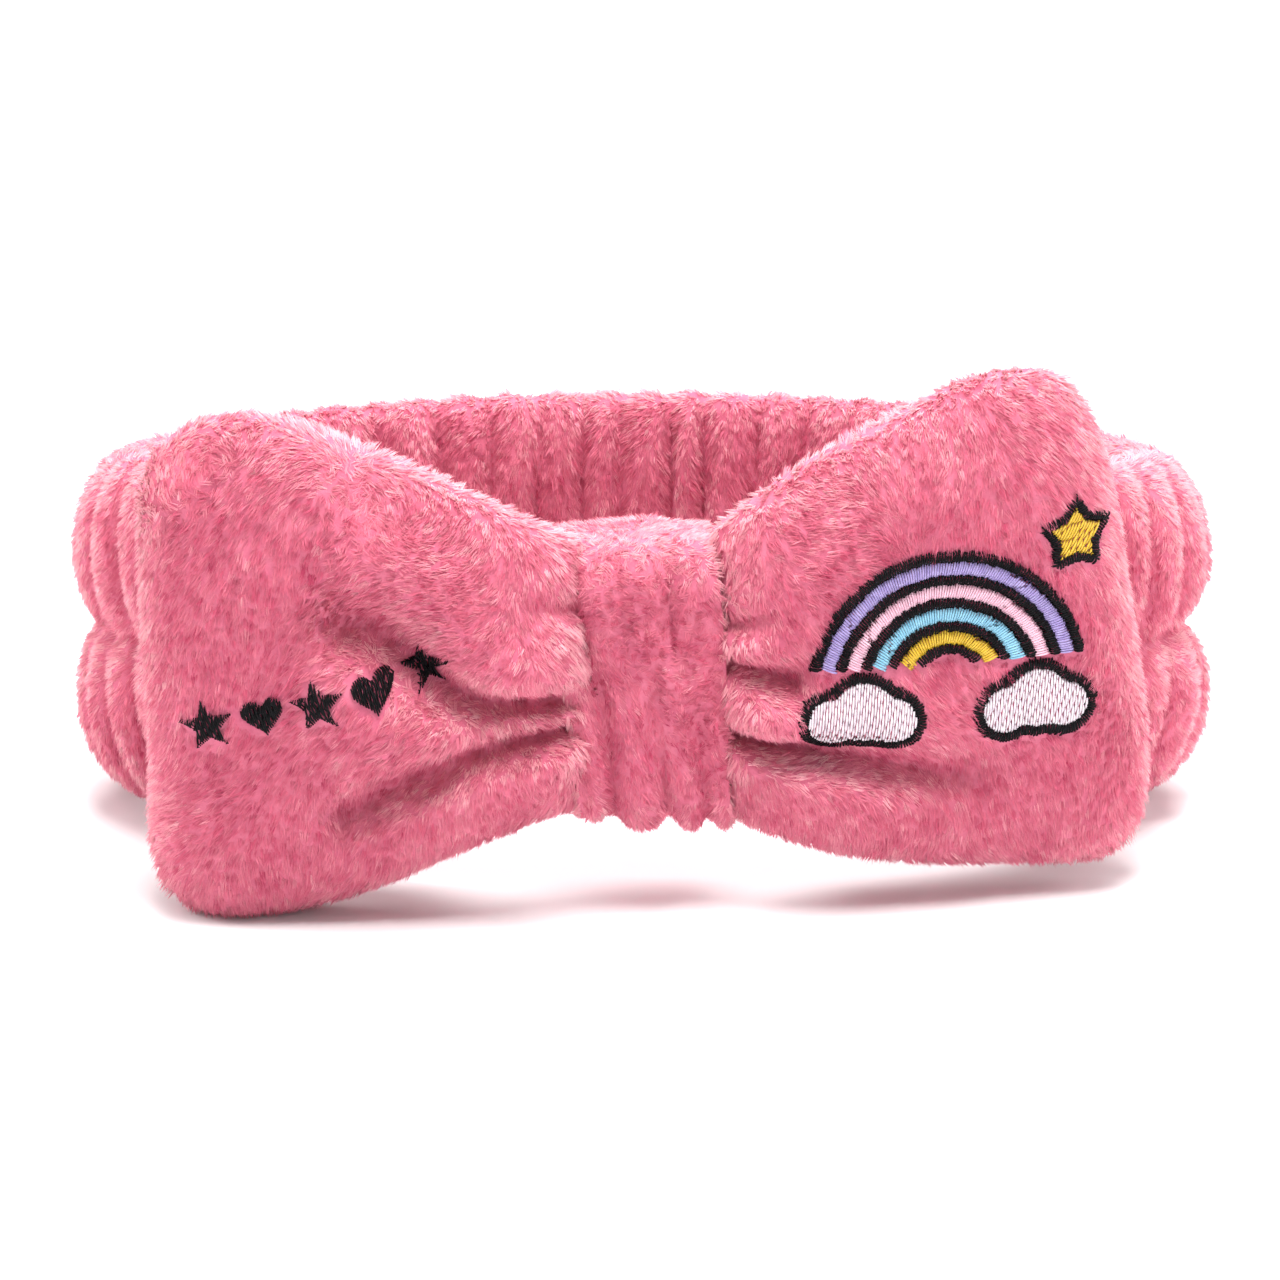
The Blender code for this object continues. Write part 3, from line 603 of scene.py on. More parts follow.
def make_channel_stitches():
    """Running stitches along the pinch, on both faces of the sleeve."""
    faces = (("outer", 1, 1, "needle_thread"), ("inner", 3, -1, "bobbin_thread"))
    for label, quarter, way, thread in faces:
        angles, length = elastic_angles(SEAM_POINTS, 0.6)
        line = band_surface(angles, length, np.array([quarter * math.pi / 2]))[:, 0]
        away = loop_frame(angles)[1] * way
        runs = []
        step = (length[-1] - length[0]) / (SEAM_POINTS - 1)
        stitch, gap = int(SEAM_STITCH / step), int(SEAM_GAP / step)
        for first in range(0, SEAM_POINTS - stitch, stitch + gap):
            at = np.linspace(first, first + stitch, 6).astype(int)
            lift = (np.array([-0.6, 0.25, 0.5, 0.5, 0.25, -0.6]) * MM)[:, None]
            runs.append(line[at] + away[at] * lift)
        nodes = (f"{thread}_{part}" for part in ("left", "back", "right"))
        loop_seam(f"channel_stitches_{label}", runs, 0.24 * MM, *nodes)


def make_join_seams():
    """The seams between the plain front and the ruched part, sunk in the pile."""
    angles, length = even_angles(4000)
    around = np.linspace(0, 2 * math.pi, 61)
    for label, angle in (("right", JOIN_ANGLE - 1.5), ("left", 180 - JOIN_ANGLE + 1.5)):
        at = np.array([np.interp(angle, angles, length)])
        ring = band_surface(np.array([angle]), at, around)[0]
        loop_seam(f"join_stitches_{label}", [ring], 0.3 * MM, f"join_seam_{label}")


BLEND_START, BLEND_END = (0, -16 * MM, 0), (0, 23 * MM, 0)


def across_stretch(piece):
    """Bakes the piece's transform into its mesh. The ends of the loop's stretch, between the bow
    and the back, are read but not used.
    """
    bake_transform(piece)
    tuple(BLEND_START)
    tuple(BLEND_END)


SECTORS = 10


def band_pile(band):
    """Pile round the loop, grown in sectors, and none under the knot."""
    for i in range(SECTORS):

        def keep(points, i=i):
            x, y = points[:, 0], points[:, 1]
            turn = np.arctan2((y - LOOP_CENTRE_Y) / LOOP_HALF_DEPTH, x / LOOP_HALF_WIDTH)
            clear = (y > -14 * MM) | (np.abs(x - BOW_CENTRE.x) > 14 * MM)
            sector = np.floor(turn / math.tau * SECTORS + SECTORS // 2).astype(int) % SECTORS
            return clear & (sector == i)

        # ends=0.9 paints light on the pile, paler where the loop's cloth turns sideways.
        pile = grow_pile(f"loop_pile_{i + 1}", band, 1.8 * MM, 300, keep, ends=0.9)
        across_stretch(pile)


# ---- the bow ----
# Outlines of the wings' cloth in the bow's frame, in millimetres: outwards, up. The top and the
# bottom start at the knot, and the outer edge joins their ends.
OUTLINES = {
    "left": {
        "top": [(11, 20), (20, 24), (31, 30), (40, 34.6), (49, 38.8), (58, 42.5), (67, 44.6)]
        + [(76, 43.6), (83.5, 38.8)],
        "outer": [(87.6, -31), (87, -15), (87, 2), (86.8, 18), (86.2, 30)],
        "bottom": [(11, -28), (19, -29.5), (29, -33), (38, -36.6), (47, -40.4), (57, -43.4)]
        + [(67, -45.6), (78, -46.2), (86, -40.8)],
    },
    "right": {
        "top": [(11, 21), (18, 26), (26, 31.2), (34, 35.2), (42, 39), (50, 42.6), (57, 45)]
        + [(64, 45.8), (71, 44.4), (76.5, 38.5)],
        "outer": [(87, -33), (86.8, -20), (85, -5), (82.8, 10), (80.2, 26)],
        "bottom": [(11, -30.5), (18, -34), (26, -37.4), (35, -40.2), (46, -42.3), (57, -43.4)]
        + [(67, -44.2), (78, -44.4), (85, -40.5)],
    },
}
# Creases: points along each, depth at its two ends and width.
CREASES = {
    "left": (
        ([(10, -5.5), (18, -6), (28, -5.6), (35, -3), (42, 3.5), (49, 9), (62, 12.5)], 7, 5.6, 2.9),
        (
            [(10, -11.5), (18, -11.8), (31, -14.4), (37, -16.8), (46, -20), (52, -23.4)]
            + [(62, -25.5)],
            *(7, 4, 2.5),
        ),
        ([(11, 10), (18, 10.5), (25, 12)], 3, 0.3, 2),
    ),
    "right": (
        ([(10, -1.5), (18, -2.5), (27, -5)], 6.5, 2, 1.9),
        ([(10, -14), (19, -16), (27, -18), (34, -19), (46, -21.5), (64, -24)], 7, 2.4, 2.5),
        ([(11, 5.5), (16, 6), (21, 8)], 3.4, 0.3, 1.6),
    ),
}
WING_THICKNESS = 11.6 * MM  # of the front half, before its crown
WING_BACK = 4.6 * MM
EDGE_ROUND, END_ROUND, ROOT_ROUND = 20 * MM, 19 * MM, 9 * MM
ROOT_START = 10.8 * MM
CREASE_DEPTH = 1.25  # of the depths above
WING_SPLIT = 52 * MM  # where the near half's pile ends
WING_ROWS, WING_COLUMNS = 92, 104


def curve_through(points, shares):
    """A smooth curve through points (Catmull-Rom), read at shares of its length, in metres."""
    p = np.asarray(points, float) * MM
    if len(p) == 2:
        return p[0] + (p[1] - p[0]) * shares[:, None]
    p = np.vstack([2 * p[0] - p[1], p, 2 * p[-1] - p[-2]])
    t = np.linspace(0, 1, 24, endpoint=False)[:, None]
    runs = []
    for i in range(1, len(p) - 2):
        a, b, c, d = p[i - 1 : i + 3]
        bend, twist = 2 * a - 5 * b + 4 * c - d, 3 * b - a - 3 * c + d
        runs.append(0.5 * (2 * b + (c - a) * t + bend * t**2 + twist * t**3))
    fine = np.vstack([*runs, p[-2][None]])
    length = run_length(fine)
    at = shares * length[-1]
    return np.stack([np.interp(at, length, fine[:, k]) for k in (0, 1)], -1)


def wing_plan(label, outs, ups):
    """Plan places (outwards, up) of the wing's grid, filled in from its four edges."""
    high, edge, low = OUTLINES[label].values()
    top, bottom = curve_through(high, outs), curve_through(low, outs)
    outer = curve_through([low[-1], *edge, high[-1]], ups)
    inner = curve_through([low[0], high[0]], ups)
    a, b = outs[:, None, None], ups[None, :, None]
    corners = (1 - a) * (1 - b) * bottom[0] + a * (1 - b) * bottom[-1]
    corners = corners + (1 - a) * b * top[0] + a * b * top[-1]
    sides = (1 - b) * bottom[:, None] + b * top[:, None] + (1 - a) * inner[None] + a * outer[None]
    return sides - corners


def crease_depth(label, plan):
    """How far creases push the wing's front in, with soft rolls on both sides of each."""
    depth = np.zeros(plan.shape[:2])
    for points, first, last, width in CREASES[label]:
        line = curve_through(points, np.linspace(0, 1, 40))
        away = np.linalg.norm(plan[:, :, None] - line[None, None], axis=-1)
        near = away.argmin(-1)
        away = away.min(-1)
        share = near / 39
        deep = CREASE_DEPTH * (first + (last - first) * share**0.9) * MM
        deep = deep * smooth(-share, -1.0, -0.78)
        wide = width * MM * (0.75 + 1.5 * share)
        depth += deep * np.exp(-((away / wide) ** 2))
        depth -= 0.3 * deep * np.exp(-(((away - 2.3 * wide) / (1.5 * wide)) ** 2))
    return depth


def quarter_round(distance, radius):
    """The height of a rounded edge, 0 at distance 0 and 1 from the radius on."""
    share = 1 - np.clip(distance / radius, 0, 1)
    return np.sqrt(np.clip(1 - share * share, 0, 1))


def wing_forward(label, outs, ups, plan):
    """How far the wing's front and back cloth lie in front of the bow's centre plane."""
    height = np.linalg.norm(plan[:, -1] - plan[:, 0], axis=1)[:, None]
    to_edge = np.minimum(ups, 1 - ups)[None, :] * height
    to_end = (1 - outs)[:, None] * 75 * MM
    round_edge = quarter_round(to_edge, EDGE_ROUND) * quarter_round(to_end, END_ROUND)
    u = plan[..., 0]
    near_knot = 0.88 + 0.12 * smooth(u, 14 * MM, 36 * MM)
    root = quarter_round(u - ROOT_START, ROOT_ROUND)
    crown = 1 + 0.12 * np.sin(np.pi * np.clip(to_edge / (45 * MM), 0, 1) / 2)
    flat = np.stack([u, plan[..., 1], 0 * u], -1)
    seed = 41 if label == "left" else 47
    wander = soft_noise(flat, 24 * MM, seed) * 0.55 * MM
    wander = wander + soft_noise(flat, 8 * MM, seed + 1) * 0.2 * MM
    sweep = WING_SWEEP * np.clip((u - 19.4 * MM) / (70.6 * MM), 0, None) ** 1.2
    front = WING_THICKNESS * round_edge * near_knot * crown
    front = front + (wander - crease_depth(label, plan)) * round_edge
    front = np.maximum(front, 1.2 * MM * round_edge) * root
    puckers = 0.8 * MM * np.sin(plan[..., 1] / (2.6 * MM) + 1.0) * smooth(-u, -34 * MM, -16 * MM)
    back = (-WING_BACK * near_knot - wander * 0.6 - puckers) * round_edge * root
    return front - sweep, back - sweep


def make_wing_cloth(label):
    side = SIDES[label]
    # Rows and columns lie closer together near the outline.
    outs = np.sin(np.linspace(0, math.pi / 2, WING_ROWS)) * 0.55
    outs = outs + np.linspace(0, 1, WING_ROWS) * 0.45
    ups = (1 - np.cos(np.linspace(0, math.pi, WING_COLUMNS))) * 0.5 * 0.45
    ups = ups + np.linspace(0, 1, WING_COLUMNS) * 0.55
    plan = wing_plan(label, outs, ups)
    front, back = wing_forward(label, outs, ups, plan)
    across, up = side * plan[..., 0], plan[..., 1]
    points = np.vstack([bow_points(across, f, up).reshape(-1, 3) for f in (front, back)])
    points[:, 2] = np.maximum(points[:, 2], 0.3 * MM)
    size = WING_ROWS * WING_COLUMNS
    # The back sheet borrows the front sheet's points along the seam.
    number = np.arange(size).reshape(WING_ROWS, WING_COLUMNS)
    behind = number + size
    behind[:, 0], behind[:, -1], behind[-1] = number[:, 0], number[:, -1], number[-1]
    ahead = grid_faces(WING_ROWS, WING_COLUMNS)
    back_faces = behind.ravel()[ahead[:, [0, 3, 2, 1]]]
    k = np.arange(1, WING_COLUMNS - 2)
    root = np.stack([number[0, k], number[0, k + 1], behind[0, k + 1], behind[0, k]], -1)
    faces = np.vstack([ahead, back_faces, root])[:, ::side]
    return new_piece(f"{label}_wing_cloth", points, faces, CLOTH)


def wing_motion(piece, label):
    """Bakes the piece's transform into its mesh. Two points across the wing's root are worked out
    but not used.
    """
    side = SIDES[label]
    start, end = (bow_points(*(np.array(v * MM) for v in (side * x, 0, 0))) for x in (14.0, 24.5))
    tuple(start)
    tuple(end)
    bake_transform(piece)


def in_bow(points):
    """Points in the bow's own frame: across, forward, up."""
    local = (points - BOW[:3, 3]) @ BOW[:3, :3]
    return local[:, 0], -local[:, 1], local[:, 2]


def wing_pile(label, wing):
    """Pile on a wing in a near and a far half, and none under the knot or the embroidery."""
    side = SIDES[label]
    comb = (0.25 * side, 0, -0.8)
    for part, near in (("near", True), ("far", False)):

        def keep(points, near=near):
            x, forward, up = in_bow(points)
            bare = (forward > -5 * MM) & under_stitches(label, side * x, up)
            return (side * x > 11.2 * MM) & ~bare & ((side * x < WING_SPLIT) == near)

        # The last argument, ends, paints light on the pile, paler where the wing's cloth turns
        # sideways.
        pile = grow_pile(f"{label}_wing_pile_{part}", wing, 2.1 * MM, 500 + side, keep, comb, 0.9)
        wing_motion(pile, label)


def knot_ring(alpha, half_depth, half_height, corner):
    """A rounded rectangle (forward, up) at angle alpha, as points and outward directions."""
    fine = []
    for quarter, (sx, sy) in enumerate(((1, 1), (-1, 1), (-1, -1), (1, -1))):
        for i in range(40):
            a = math.pi / 2 * (quarter + i / 39)
            cx, cy = sx * (half_depth - corner), sy * (half_height - corner)
            c, s = math.cos(a), math.sin(a)
            fine.append((cx + corner * c, cy + corner * s, c, s))
    fine = np.array([*fine, fine[0]])
    length = run_length(fine[:, :2])
    at = alpha * length[-1]
    columns = [np.interp(at, length, fine[:, k]) for k in range(4)]
    return np.stack(columns[:2], -1), unit(np.stack(columns[2:], -1))


# Pleats of the knot's front: across and up of the top and bottom end, depth and width, in mm.
PLEATS = (
    (-11.0, 24, -9.6, 0, 2.6, 1.4),
    (-7.4, 4, -6.8, -29, 3.3, 1.9),
    (-3.2, 24, -1.8, -2, 1.6, 1.3),
    (1.0, 6, 2.6, -29, 3.0, 1.6),
    (6.6, 26, 5.2, 2, 1.9, 1.4),
    (8.8, -4, 9.8, -29, 2.3, 1.5),
)
KNOT_ROWS, KNOT_COLUMNS = 190, 64
KNOT_INSET = 2.9 * MM  # from the knot's outside to the middle of its cloth
KNOT_SHIFT = 1.0 * MM


def make_knot():
    """A flat tube wrapped round the bow, with pleats pressed into its front."""
    alpha = np.linspace(0, 1, KNOT_ROWS, endpoint=False)
    sizes = (size - KNOT_INSET for size in (KNOT_DEPTH / 2, KNOT_HEIGHT / 2, KNOT_CORNER))
    ring, away = knot_ring(alpha, *sizes)
    beta = np.linspace(0, 2 * math.pi, KNOT_COLUMNS, endpoint=False)
    c, s = np.cos(beta), np.sin(beta)
    across = np.sign(c) * np.abs(c) ** 0.75 * (KNOT_WIDTH / 2 - 1.8 * MM)
    out = np.sign(s) * np.abs(s) ** 0.8 * 1.9 * MM
    x = np.broadcast_to(across, (KNOT_ROWS, KNOT_COLUMNS)).copy()
    up = ring[:, 1][:, None] + 0 * x
    forward = ring[:, 0][:, None] + 0 * x
    x *= 1 + 0.03 * np.sin(up / (9 * MM) + 0.8) + 0.03 * smooth(up, -20 * MM, 20 * MM)
    lift = np.broadcast_to(out, x.shape).copy()
    outer = smooth(out, 0.2 * MM, 1.2 * MM)
    wander = soft_noise(np.stack([x, forward, up], -1), 15 * MM, 71)
    lift += outer * (wander * 0.35 * MM + 0.25 * MM * np.cos(x / (5 * MM)))
    for x1, up1, x2, up2, depth, width in PLEATS:
        share = np.clip((up / MM - up1) / (up2 - up1), -0.2, 1.2)
        centre = (x1 + (x2 - x1) * share + 0.35 * np.sin(up / (4 * MM) + x1)) * MM
        fade = smooth(share, -0.15, 0.2) * smooth(-share, -1.15, -0.8)
        dent = np.exp(-(((x - centre) / (width * MM)) ** 2))
        lift -= outer * fade * depth * MM * dent * smooth(forward, 0, 6 * MM)
    # A gather at the foot: the lower edge is drawn up in the middle.
    lift -= outer * 1.0 * MM * np.exp(-((x / (10 * MM)) ** 2)) * smooth(-up, 20 * MM, 26 * MM)
    forward = forward + away[:, 0][:, None] * lift - KNOT_SETBACK
    up = up + away[:, 1][:, None] * lift - KNOT_DROP - KNOT_SHIFT
    # The knot leans a little, and its foot hangs lower.
    x = x - 0.055 * (up + 32 * MM) - 0.4 * MM
    up -= (0.12 * x + 2.4 * MM) * smooth(-up, 12 * MM, 27 * MM)
    points = bow_points(x, forward, up).reshape(-1, 3)
    faces = grid_faces(KNOT_ROWS, KNOT_COLUMNS, True, True)
    knot = new_piece("knot_cloth", points, faces, CLOTH)
    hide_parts("knot_wrap")
    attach(knot, "bow_front")

    def keep(points):
        """The knot's outside only, not the face that lies on the wings."""
        _, forward, up = in_bow(points)
        f = np.abs(forward + KNOT_SETBACK)
        u = np.abs(up + KNOT_DROP + KNOT_SHIFT)
        return np.maximum(f - (KNOT_DEPTH / 2 - 4.6 * MM), u - (KNOT_HEIGHT / 2 - 4.6 * MM)) > 0

    pile = grow_pile("knot_pile", knot, 1.7 * MM, 611, keep, (0.2, 0, -0.5))
    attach(pile, "bow_front")


# ---- embroidery ----
RAINBOW_CENTRE = (50.0 * MM, -6.0 * MM)
RAINBOW_FOOT = 4.4 * MM
RAINBOW_BANDS = {"lavender": 21.3 * MM, "rose": 17.1 * MM, "blue": 12.9 * MM, "yellow": 8.7 * MM}
BAND_PITCH = 4.2 * MM
BAND_WIDTH = 2.9 * MM
RAINBOW_INSIDE, RAINBOW_OUTSIDE = 5.9 * MM, 23.4 * MM  # kept free of pile
CLOUD_SIZE = 8.6 * MM
CLOUDS = {"left": (34.8 * MM, -10.4 * MM), "right": (65.2 * MM, -10.4 * MM)}
STAR_CENTRE = (72.5 * MM, 19.0 * MM)
STAR_RADIUS = 4.6 * MM
STAR_INNER = 0.6
CHARM_CENTRE = (58.0 * MM, -3.0 * MM)
CHARM_PITCH = 9.6 * MM
CHARM_SIZE = 9.0 * MM
CHARM_SLOPE = math.radians(12.0)
CHARM_COUNT = 5
OUTLINE_WIDTH = 1.8 * MM
THREAD_RADIUS = 0.21 * MM
STITCH_PITCH = 0.44 * MM
STITCH_SLANT = 0.18
TUBE_SIDES = 5


def polar(centre, reach, a):
    return np.stack([centre[0] + reach * np.cos(a), centre[1] + reach * np.sin(a)], -1)


def star(centre, radius, inner_share, turn):
    reach = np.where(np.arange(10) % 2 == 0, radius, radius * inner_share)
    return polar(centre, reach, np.radians(turn + 36 * np.arange(10)))


def small_star(grow):
    return star(STAR_CENTRE, STAR_RADIUS + grow, STAR_INNER, 90.0)


def heart(centre, size, turn):
    a = np.linspace(0, 2 * math.pi, 40, endpoint=False)
    x = np.sin(a) ** 3
    y = (13 * np.cos(a) - 5 * np.cos(2 * a) - 2 * np.cos(3 * a) - np.cos(4 * a)) / 16
    c, s = math.cos(math.radians(turn)), math.sin(math.radians(turn))
    x, y = x * size / 2, y * size / 2
    return np.stack([centre[0] + x * c - y * s, centre[1] + x * s + y * c], -1)


def cloud(centre, grow):
    """The outline of three puffs, each given by its place and radius, grown by a margin."""
    a = np.linspace(0, 2 * math.pi, 60, endpoint=False)
    ray = np.stack([np.cos(a), np.sin(a)], -1)
    reach = np.zeros(len(a))
    for place, radius in (((-0.6, -0.08), 0.44), ((0.05, 0.12), 0.56), ((0.62, -0.08), 0.42)):
        along = ray @ (np.array(place) * CLOUD_SIZE)
        gap = (radius * CLOUD_SIZE + grow) ** 2 - (np.array(place) ** 2).sum() * CLOUD_SIZE**2
        root = along**2 + gap
        reach = np.maximum(reach, np.where(root > 0, along + np.sqrt(np.maximum(root, 0)), 0))
    reach = (np.roll(reach, 1) + 2 * reach + np.roll(reach, -1)) / 4
    return np.array(centre) + ray * reach[:, None]


def charms():
    shapes = {}
    middle = (CHARM_COUNT - 1) / 2
    for i in range(CHARM_COUNT):
        along = (i - middle) * CHARM_PITCH
        centre = (
            CHARM_CENTRE[0] - along * math.cos(CHARM_SLOPE),
            CHARM_CENTRE[1] + along * math.sin(CHARM_SLOPE),
        )
        if i % 2 == 0:
            shapes[f"black_star_{i // 2 + 1}"] = star(centre, CHARM_SIZE / 2, 0.45, 78.0)
        else:
            shapes[f"black_heart_{i // 2 + 1}"] = heart(centre, CHARM_SIZE * 0.8, -12.0)
    return shapes


def inside(outline, x, y):
    """Which places lie inside a closed outline."""
    hit = np.zeros(x.shape, bool)
    for (x1, y1), (x2, y2) in zip(outline, np.roll(outline, -1, axis=0)):
        crosses = (y1 > y) != (y2 > y)
        with np.errstate(divide="ignore", invalid="ignore"):
            hit ^= crosses & (x < (x2 - x1) * (y - y1) / (y2 - y1) + x1)
    return hit


def swollen(outline, by):
    """The outline moved out from its middle."""
    centre = outline.mean(0)
    away = outline - centre
    reach = np.linalg.norm(away, axis=1, keepdims=True)
    return centre + away * (reach + by) / reach


def under_stitches(label, x, up):
    """Which places of the wing's front lie under or close beside the embroidery."""
    if label == "left":
        covered = np.zeros(x.shape, bool)
        for shape in charms().values():
            covered |= inside(swollen(shape, 0.8 * MM), x, up)
        return covered
    dx, dy = x - RAINBOW_CENTRE[0], up - RAINBOW_CENTRE[1]
    reach = np.hypot(dx, dy)
    covered = (reach < RAINBOW_OUTSIDE + 1.2 * MM) & (reach > RAINBOW_INSIDE)
    covered &= dy > RAINBOW_FOOT - 0.8 * MM
    for centre in CLOUDS.values():
        covered |= inside(cloud(centre, 2.1 * MM), x, up)
    return covered | inside(swollen(small_star(1.9 * MM), 1.0 * MM), x, up)


def needle_over(wing, label):
    """A function from a place (outwards, up) and a lift to a spot over the wing's front."""
    mesh = wing.data
    corners = [tuple(p.vertices) for p in mesh.polygons]
    tree = BVHTree.FromPolygons([v.co for v in mesh.vertices], corners)
    back = Vector(BOW[:3, 1])

    def place(u, w, lift):
        start = Vector(bow_points(*(np.array(v) for v in (SIDES[label] * u, 40 * MM, w))))
        spot, normal, _, _ = tree.ray_cast(start, back, 0.1)
        if spot is None:  # past the wing's outline
            return start + back * 40 * MM
        if normal.dot(back) > 0:
            normal = -normal
        return spot + normal * lift

    return place


def tube_mesh(name, runs, radius, material):
    """Closed round threads along runs of places, all in one piece."""
    points, faces = [], []
    for run in runs:
        run = [Vector(p) for p in run]
        start = len(points)
        for i, place in enumerate(run):
            along = (run[min(i + 1, len(run) - 1)] - run[max(i - 1, 0)]).normalized()
            first = along.orthogonal().normalized()
            second = along.cross(first)
            taper = 0.7 if i in (0, len(run) - 1) else 1.0
            for k in range(TUBE_SIDES):
                a = 2 * math.pi * k / TUBE_SIDES
                outwards = first * math.cos(a) + second * math.sin(a)
                points.append(place + outwards * radius * taper)
        sleeve = grid_faces(len(run), TUBE_SIDES, False, True)[:, [0, 3, 2, 1]] + start
        faces += sleeve.tolist()
        last = start + (len(run) - 1) * TUBE_SIDES
        faces.append(tuple(range(start, start + TUBE_SIDES))[::-1])
        faces.append(tuple(range(last, last + TUBE_SIDES)))
    mesh = bpy.data.meshes.new(name)
    mesh.from_pydata(points, [], faces)
    mesh.validate()
    mesh.update()
    mesh.materials.append(material)
    mesh.polygons.foreach_set("use_smooth", [True] * len(mesh.polygons))
    return add_object(name, mesh)


def resampled(line, step, closed=False):
    """A line's points at even steps."""
    line = np.vstack([line, line[:1]]) if closed else line
    length = run_length(line)
    count = max(2, int(round(length[-1] / step)) + (0 if closed else 1))
    at = np.linspace(0, length[-1], count, endpoint=not closed)
    return np.stack([np.interp(at, length, line[:, k]) for k in (0, 1)], -1)


def satin_runs(place, line, width, rng, closed=False, height=0.7 * MM):
    """Stitches side by side across a line, each a low arch from edge to edge."""
    line = resampled(line, STITCH_PITCH, closed)
    if closed:
        ahead, behind = np.roll(line, -1, axis=0), np.roll(line, 1, axis=0)
    else:
        ahead, behind = np.vstack([line[1:], line[-1:]]), np.vstack([line[:1], line[:-1]])
    along = unit(ahead - behind)
    across = unit(np.stack([-along[:, 1], along[:, 0]], -1) + STITCH_SLANT * along)
    runs = []
    for spot, way in zip(line, across):
        half = width / 2 + rng.uniform(-0.22, 0.3, 2) * MM
        offset = rng.normal(scale=0.04 * MM)
        proud = rng.uniform(0.9, 1.12)
        run = []
        for t in (-1.0, -0.82, -0.4, 0.0, 0.4, 0.82, 1.0):
            x, y = spot + way * (t * half[0 if t < 0 else 1] + offset)
            run.append(place(x, y, height * (0.18 + 0.82 * proud * (1 - abs(t) ** 3))))
        runs.append(run)
    return runs


def fill_runs(place, outline, angle, rng, stitch=3.2 * MM, pitch=0.48 * MM, height=0.5 * MM):
    """Rows of running stitches across an outline, each row's stitches offset from the last's."""
    c, s = math.cos(math.radians(angle)), math.sin(math.radians(angle))
    turned = outline @ np.array([[c, -s], [s, c]])
    rows = np.arange(turned[:, 1].min() + pitch / 2, turned[:, 1].max(), pitch)
    runs = []
    ends = np.roll(turned, -1, axis=0)
    for i, y in enumerate(rows):
        crossing = (turned[:, 1] > y) != (ends[:, 1] > y)
        p, q = turned[crossing], ends[crossing]
        xs = np.sort(p[:, 0] + (y - p[:, 1]) / (q[:, 1] - p[:, 1]) * (q[:, 0] - p[:, 0]))
        for low, high in zip(xs[::2], xs[1::2]):
            low, high = low - rng.uniform(0, 0.15) * MM, high + rng.uniform(0, 0.15) * MM
            cuts = np.arange(low - stitch * ((i * 0.37) % 1.0), high, stitch)
            cuts = cuts[(cuts > low + 0.6 * MM) & (cuts < high - 0.6 * MM)]
            cuts = np.concatenate([[low], cuts, [high]])
            for a, b in zip(cuts[:-1], cuts[1:]):
                runs.append([])
                for t in np.linspace(0, 1, max(3, int((b - a) / (0.8 * MM)) + 2)):
                    x = a + (b - a) * t
                    lift = height * (0.35 + 0.65 * math.sin(math.pi * t) ** 0.5)
                    runs[-1].append(place(x * c - y * s, x * s + y * c, lift))
    return runs


def sew(label, node_name, kind, colour, runs):
    """A piece of stitches on a wing, in place of the CAD node."""
    piece = tube_mesh(f"{node_name}_{kind}", runs, THREAD_RADIUS, THREADS[colour])
    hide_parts(node_name)
    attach(piece, f"{label}_wing")


def rainbow_line(radius):
    """An arch of the rainbow, level at its feet."""
    start = math.degrees(math.asin(RAINBOW_FOOT / radius))
    return polar(RAINBOW_CENTRE, radius, np.radians(np.linspace(start, 180 - start, 60)))


def make_rainbow(wing):
    place = needle_over(wing, "right")
    rng = np.random.default_rng(900)
    for colour, radius in RAINBOW_BANDS.items():
        runs = satin_runs(place, rainbow_line(radius), BAND_WIDTH, rng)
        sew("right", f"rainbow_{colour}", "satin", colour, runs)
    for i in range(5):
        radius = RAINBOW_BANDS["lavender"] + BAND_PITCH / 2 - BAND_PITCH * i
        runs = satin_runs(place, rainbow_line(radius), OUTLINE_WIDTH, rng, height=1.05 * MM)
        sew("right", f"rainbow_edge_{i + 1}", "satin", "black", runs)
    for label, centre in CLOUDS.items():
        runs = fill_runs(place, cloud(centre, 0.5 * MM), 84.0, rng)
        sew("right", f"{label}_cloud", "fill", "white", runs)
        runs = satin_runs(place, cloud(centre, 1.2 * MM), OUTLINE_WIDTH, rng, True)
        sew("right", f"{label}_cloud_edge", "satin", "black", runs)
    runs = fill_runs(place, small_star(0.4 * MM), 60.0, rng)
    sew("right", "small_star", "fill", "yellow", runs)
    runs = satin_runs(place, small_star(1.5 * MM), 1.5 * MM, rng, True)
    sew("right", "small_star_edge", "satin", "black", runs)


def make_charms(wing):
    place = needle_over(wing, "left")
    rng = np.random.default_rng(901)
    for name, shape in charms().items():
        runs = fill_runs(place, shape, 72.0, rng, 5.0 * MM, 0.36 * MM, 1.0 * MM)
        sew("left", name, "satin", "black", runs)


def make_bow():
    for label in SIDES:
        wing = make_wing_cloth(label)
        inside_parts = (f"{label}_wing_wadding", f"{label}_stabiliser")
        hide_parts(f"{label}_wing_front_panel", f"{label}_wing_back_panel", *inside_parts)
        if label == "left":
            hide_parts("bow_centre_gather")
        if label == "right":
            make_rainbow(wing)
        else:
            make_charms(wing)
        wing_pile(label, wing)
        wing_motion(wing, label)
    make_knot()


# ---- CAD nodes that stay ----
def dress_nodes():
    """The CAD nodes that aren't replaced are all sewing thread."""
    for name in ("knot_closing_thread", "elastic_tack_left", "elastic_tack_right"):
        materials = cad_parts[name].data.materials
        materials.clear()
        materials.append(PINK_THREAD)


# ---- stage ----
CAMERA_ELEVATION = math.radians(19.0)
CAMERA_DISTANCE = 0.9
CAMERA_AIM = Vector((0.0, 0.0, 33.4 * MM))
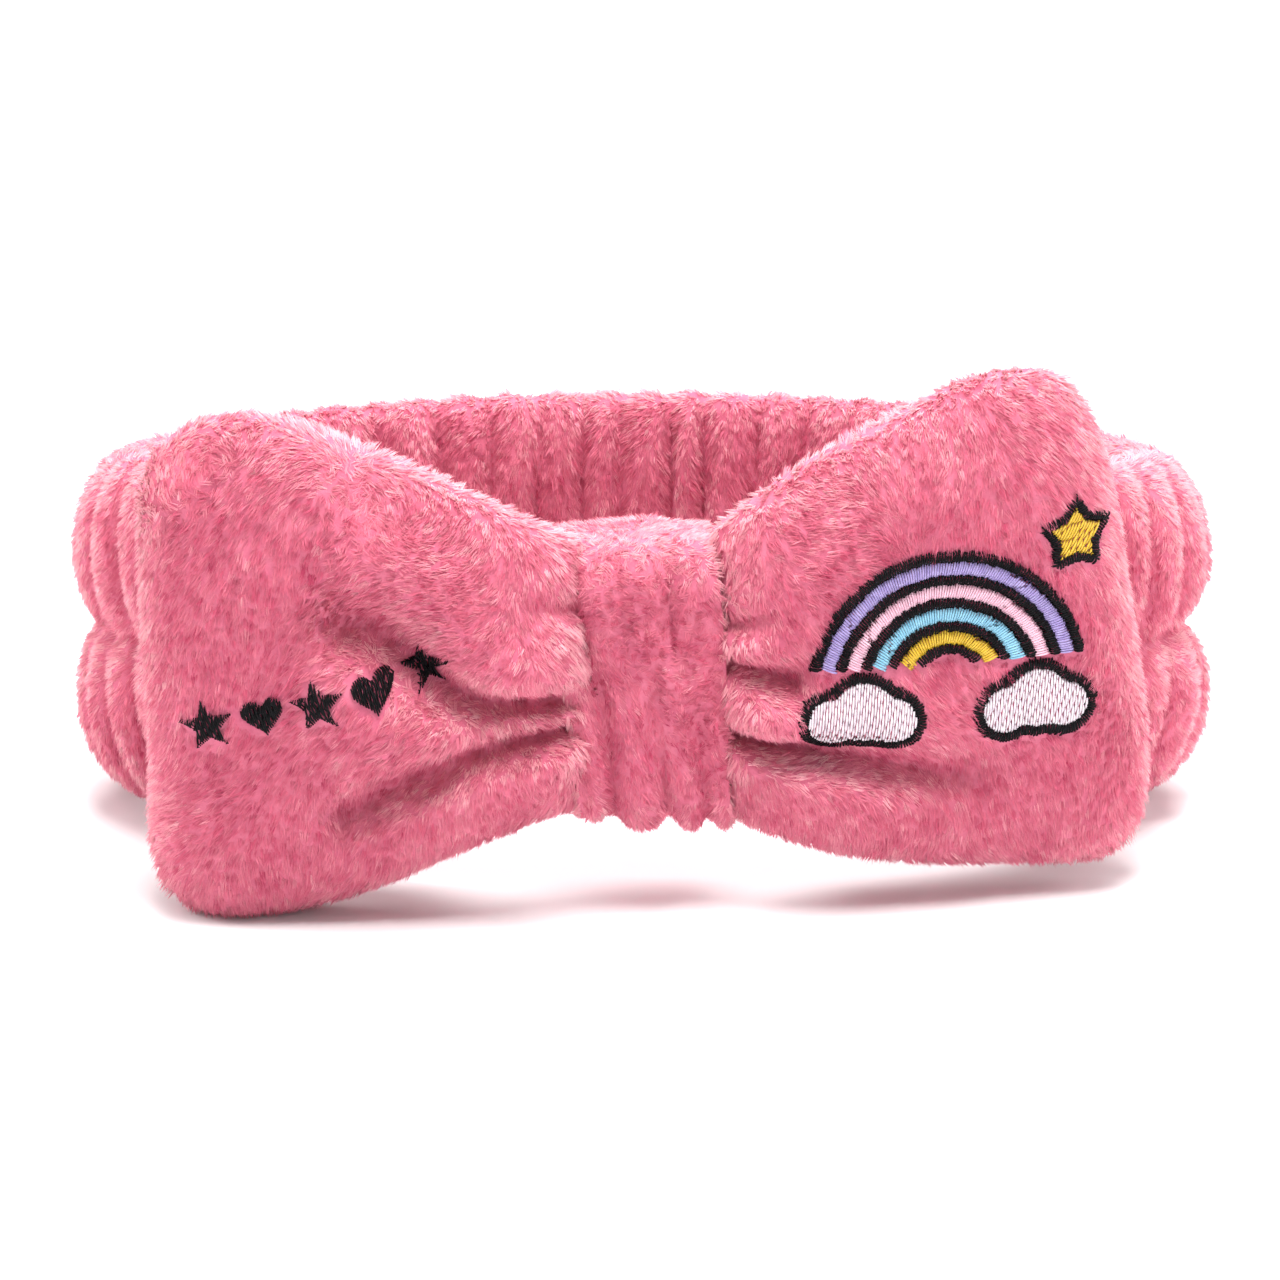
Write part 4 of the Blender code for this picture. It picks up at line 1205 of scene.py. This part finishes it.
# Each light's name, place, aim, size and power.
LIGHTS = (
    ("key_light", (-0.3, -0.38, 1.1), (0, 0, 0.04), (0.8, 0.8), 3.6),
    ("fill_light", (0.4, -1.0, 0.5), (0, 0.02, 0.04), (0.9, 0.7), 1.7),
    ("inner_light", (0.05, -0.22, 0.75), (0, 0.05, 0.04), (0.4, 0.3), 6.5),
    ("top_light", (0.1, 0.6, 1.0), (0, 0, 0.05), (0.9, 0.6), 15),
    ("left_rim", (-1.0, 0.25, 0.35), (-0.08, 0, 0.05), (0.5, 0.7), 7),
    ("right_rim", (1.0, 0.25, 0.35), (0.08, 0, 0.05), (0.5, 0.7), 7),
)


def make_camera():
    data = bpy.data.cameras.new("camera")
    data.lens = 139.0
    data.sensor_width = 36.0
    data.clip_end = 50.0
    camera = add_object("camera", data)
    away = Vector((0, -math.cos(CAMERA_ELEVATION), math.sin(CAMERA_ELEVATION)))
    camera.location = CAMERA_AIM + away * CAMERA_DISTANCE
    camera.rotation_euler = (math.pi / 2 - CAMERA_ELEVATION, 0, 0)
    bpy.context.scene.camera = camera


def make_stage():
    scene = bpy.context.scene
    scene.view_settings.view_transform = "Standard"
    world = bpy.data.worlds.new("studio")
    world.use_nodes = True
    background = world.node_tree.nodes["Background"].inputs
    background["Color"].default_value = (1, 1, 1, 1)
    background["Strength"].default_value = 0.3
    scene.world = world
    floor_points = np.array([(-6, -6, 0), (6, -6, 0), (6, 6, 0), (-6, 6, 0)], float)
    material, tree, shader = new_material("pale_floor", 0.9)
    mottled(tree, shader, "F7F7F7", "FBFBFB", 3.0)
    floor = new_piece("floor", floor_points, np.array([[0, 1, 2, 3]]), material)
    floor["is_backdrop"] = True
    for name, place, aim, size, power in LIGHTS:
        data = bpy.data.lights.new(name, "AREA")
        data.shape = "RECTANGLE"
        data.size, data.size_y = size
        data.energy = power
        lamp = add_object(name, data)
        lamp.location = place
        way = Vector(aim) - Vector(place)
        lamp.rotation_euler = way.to_track_quat("-Z", "Y").to_euler()


make_camera()
make_stage()
LOOP = make_band()
band_pile(LOOP)
across_stretch(LOOP)
make_elastic()
make_channel_stitches()
make_join_seams()
make_bow()
dress_nodes()

boxes = {"cad": CAD_BOX, "visual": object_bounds()}
{k: [[float(c) for c in corner] for corner in v] for k, v in boxes.items()}
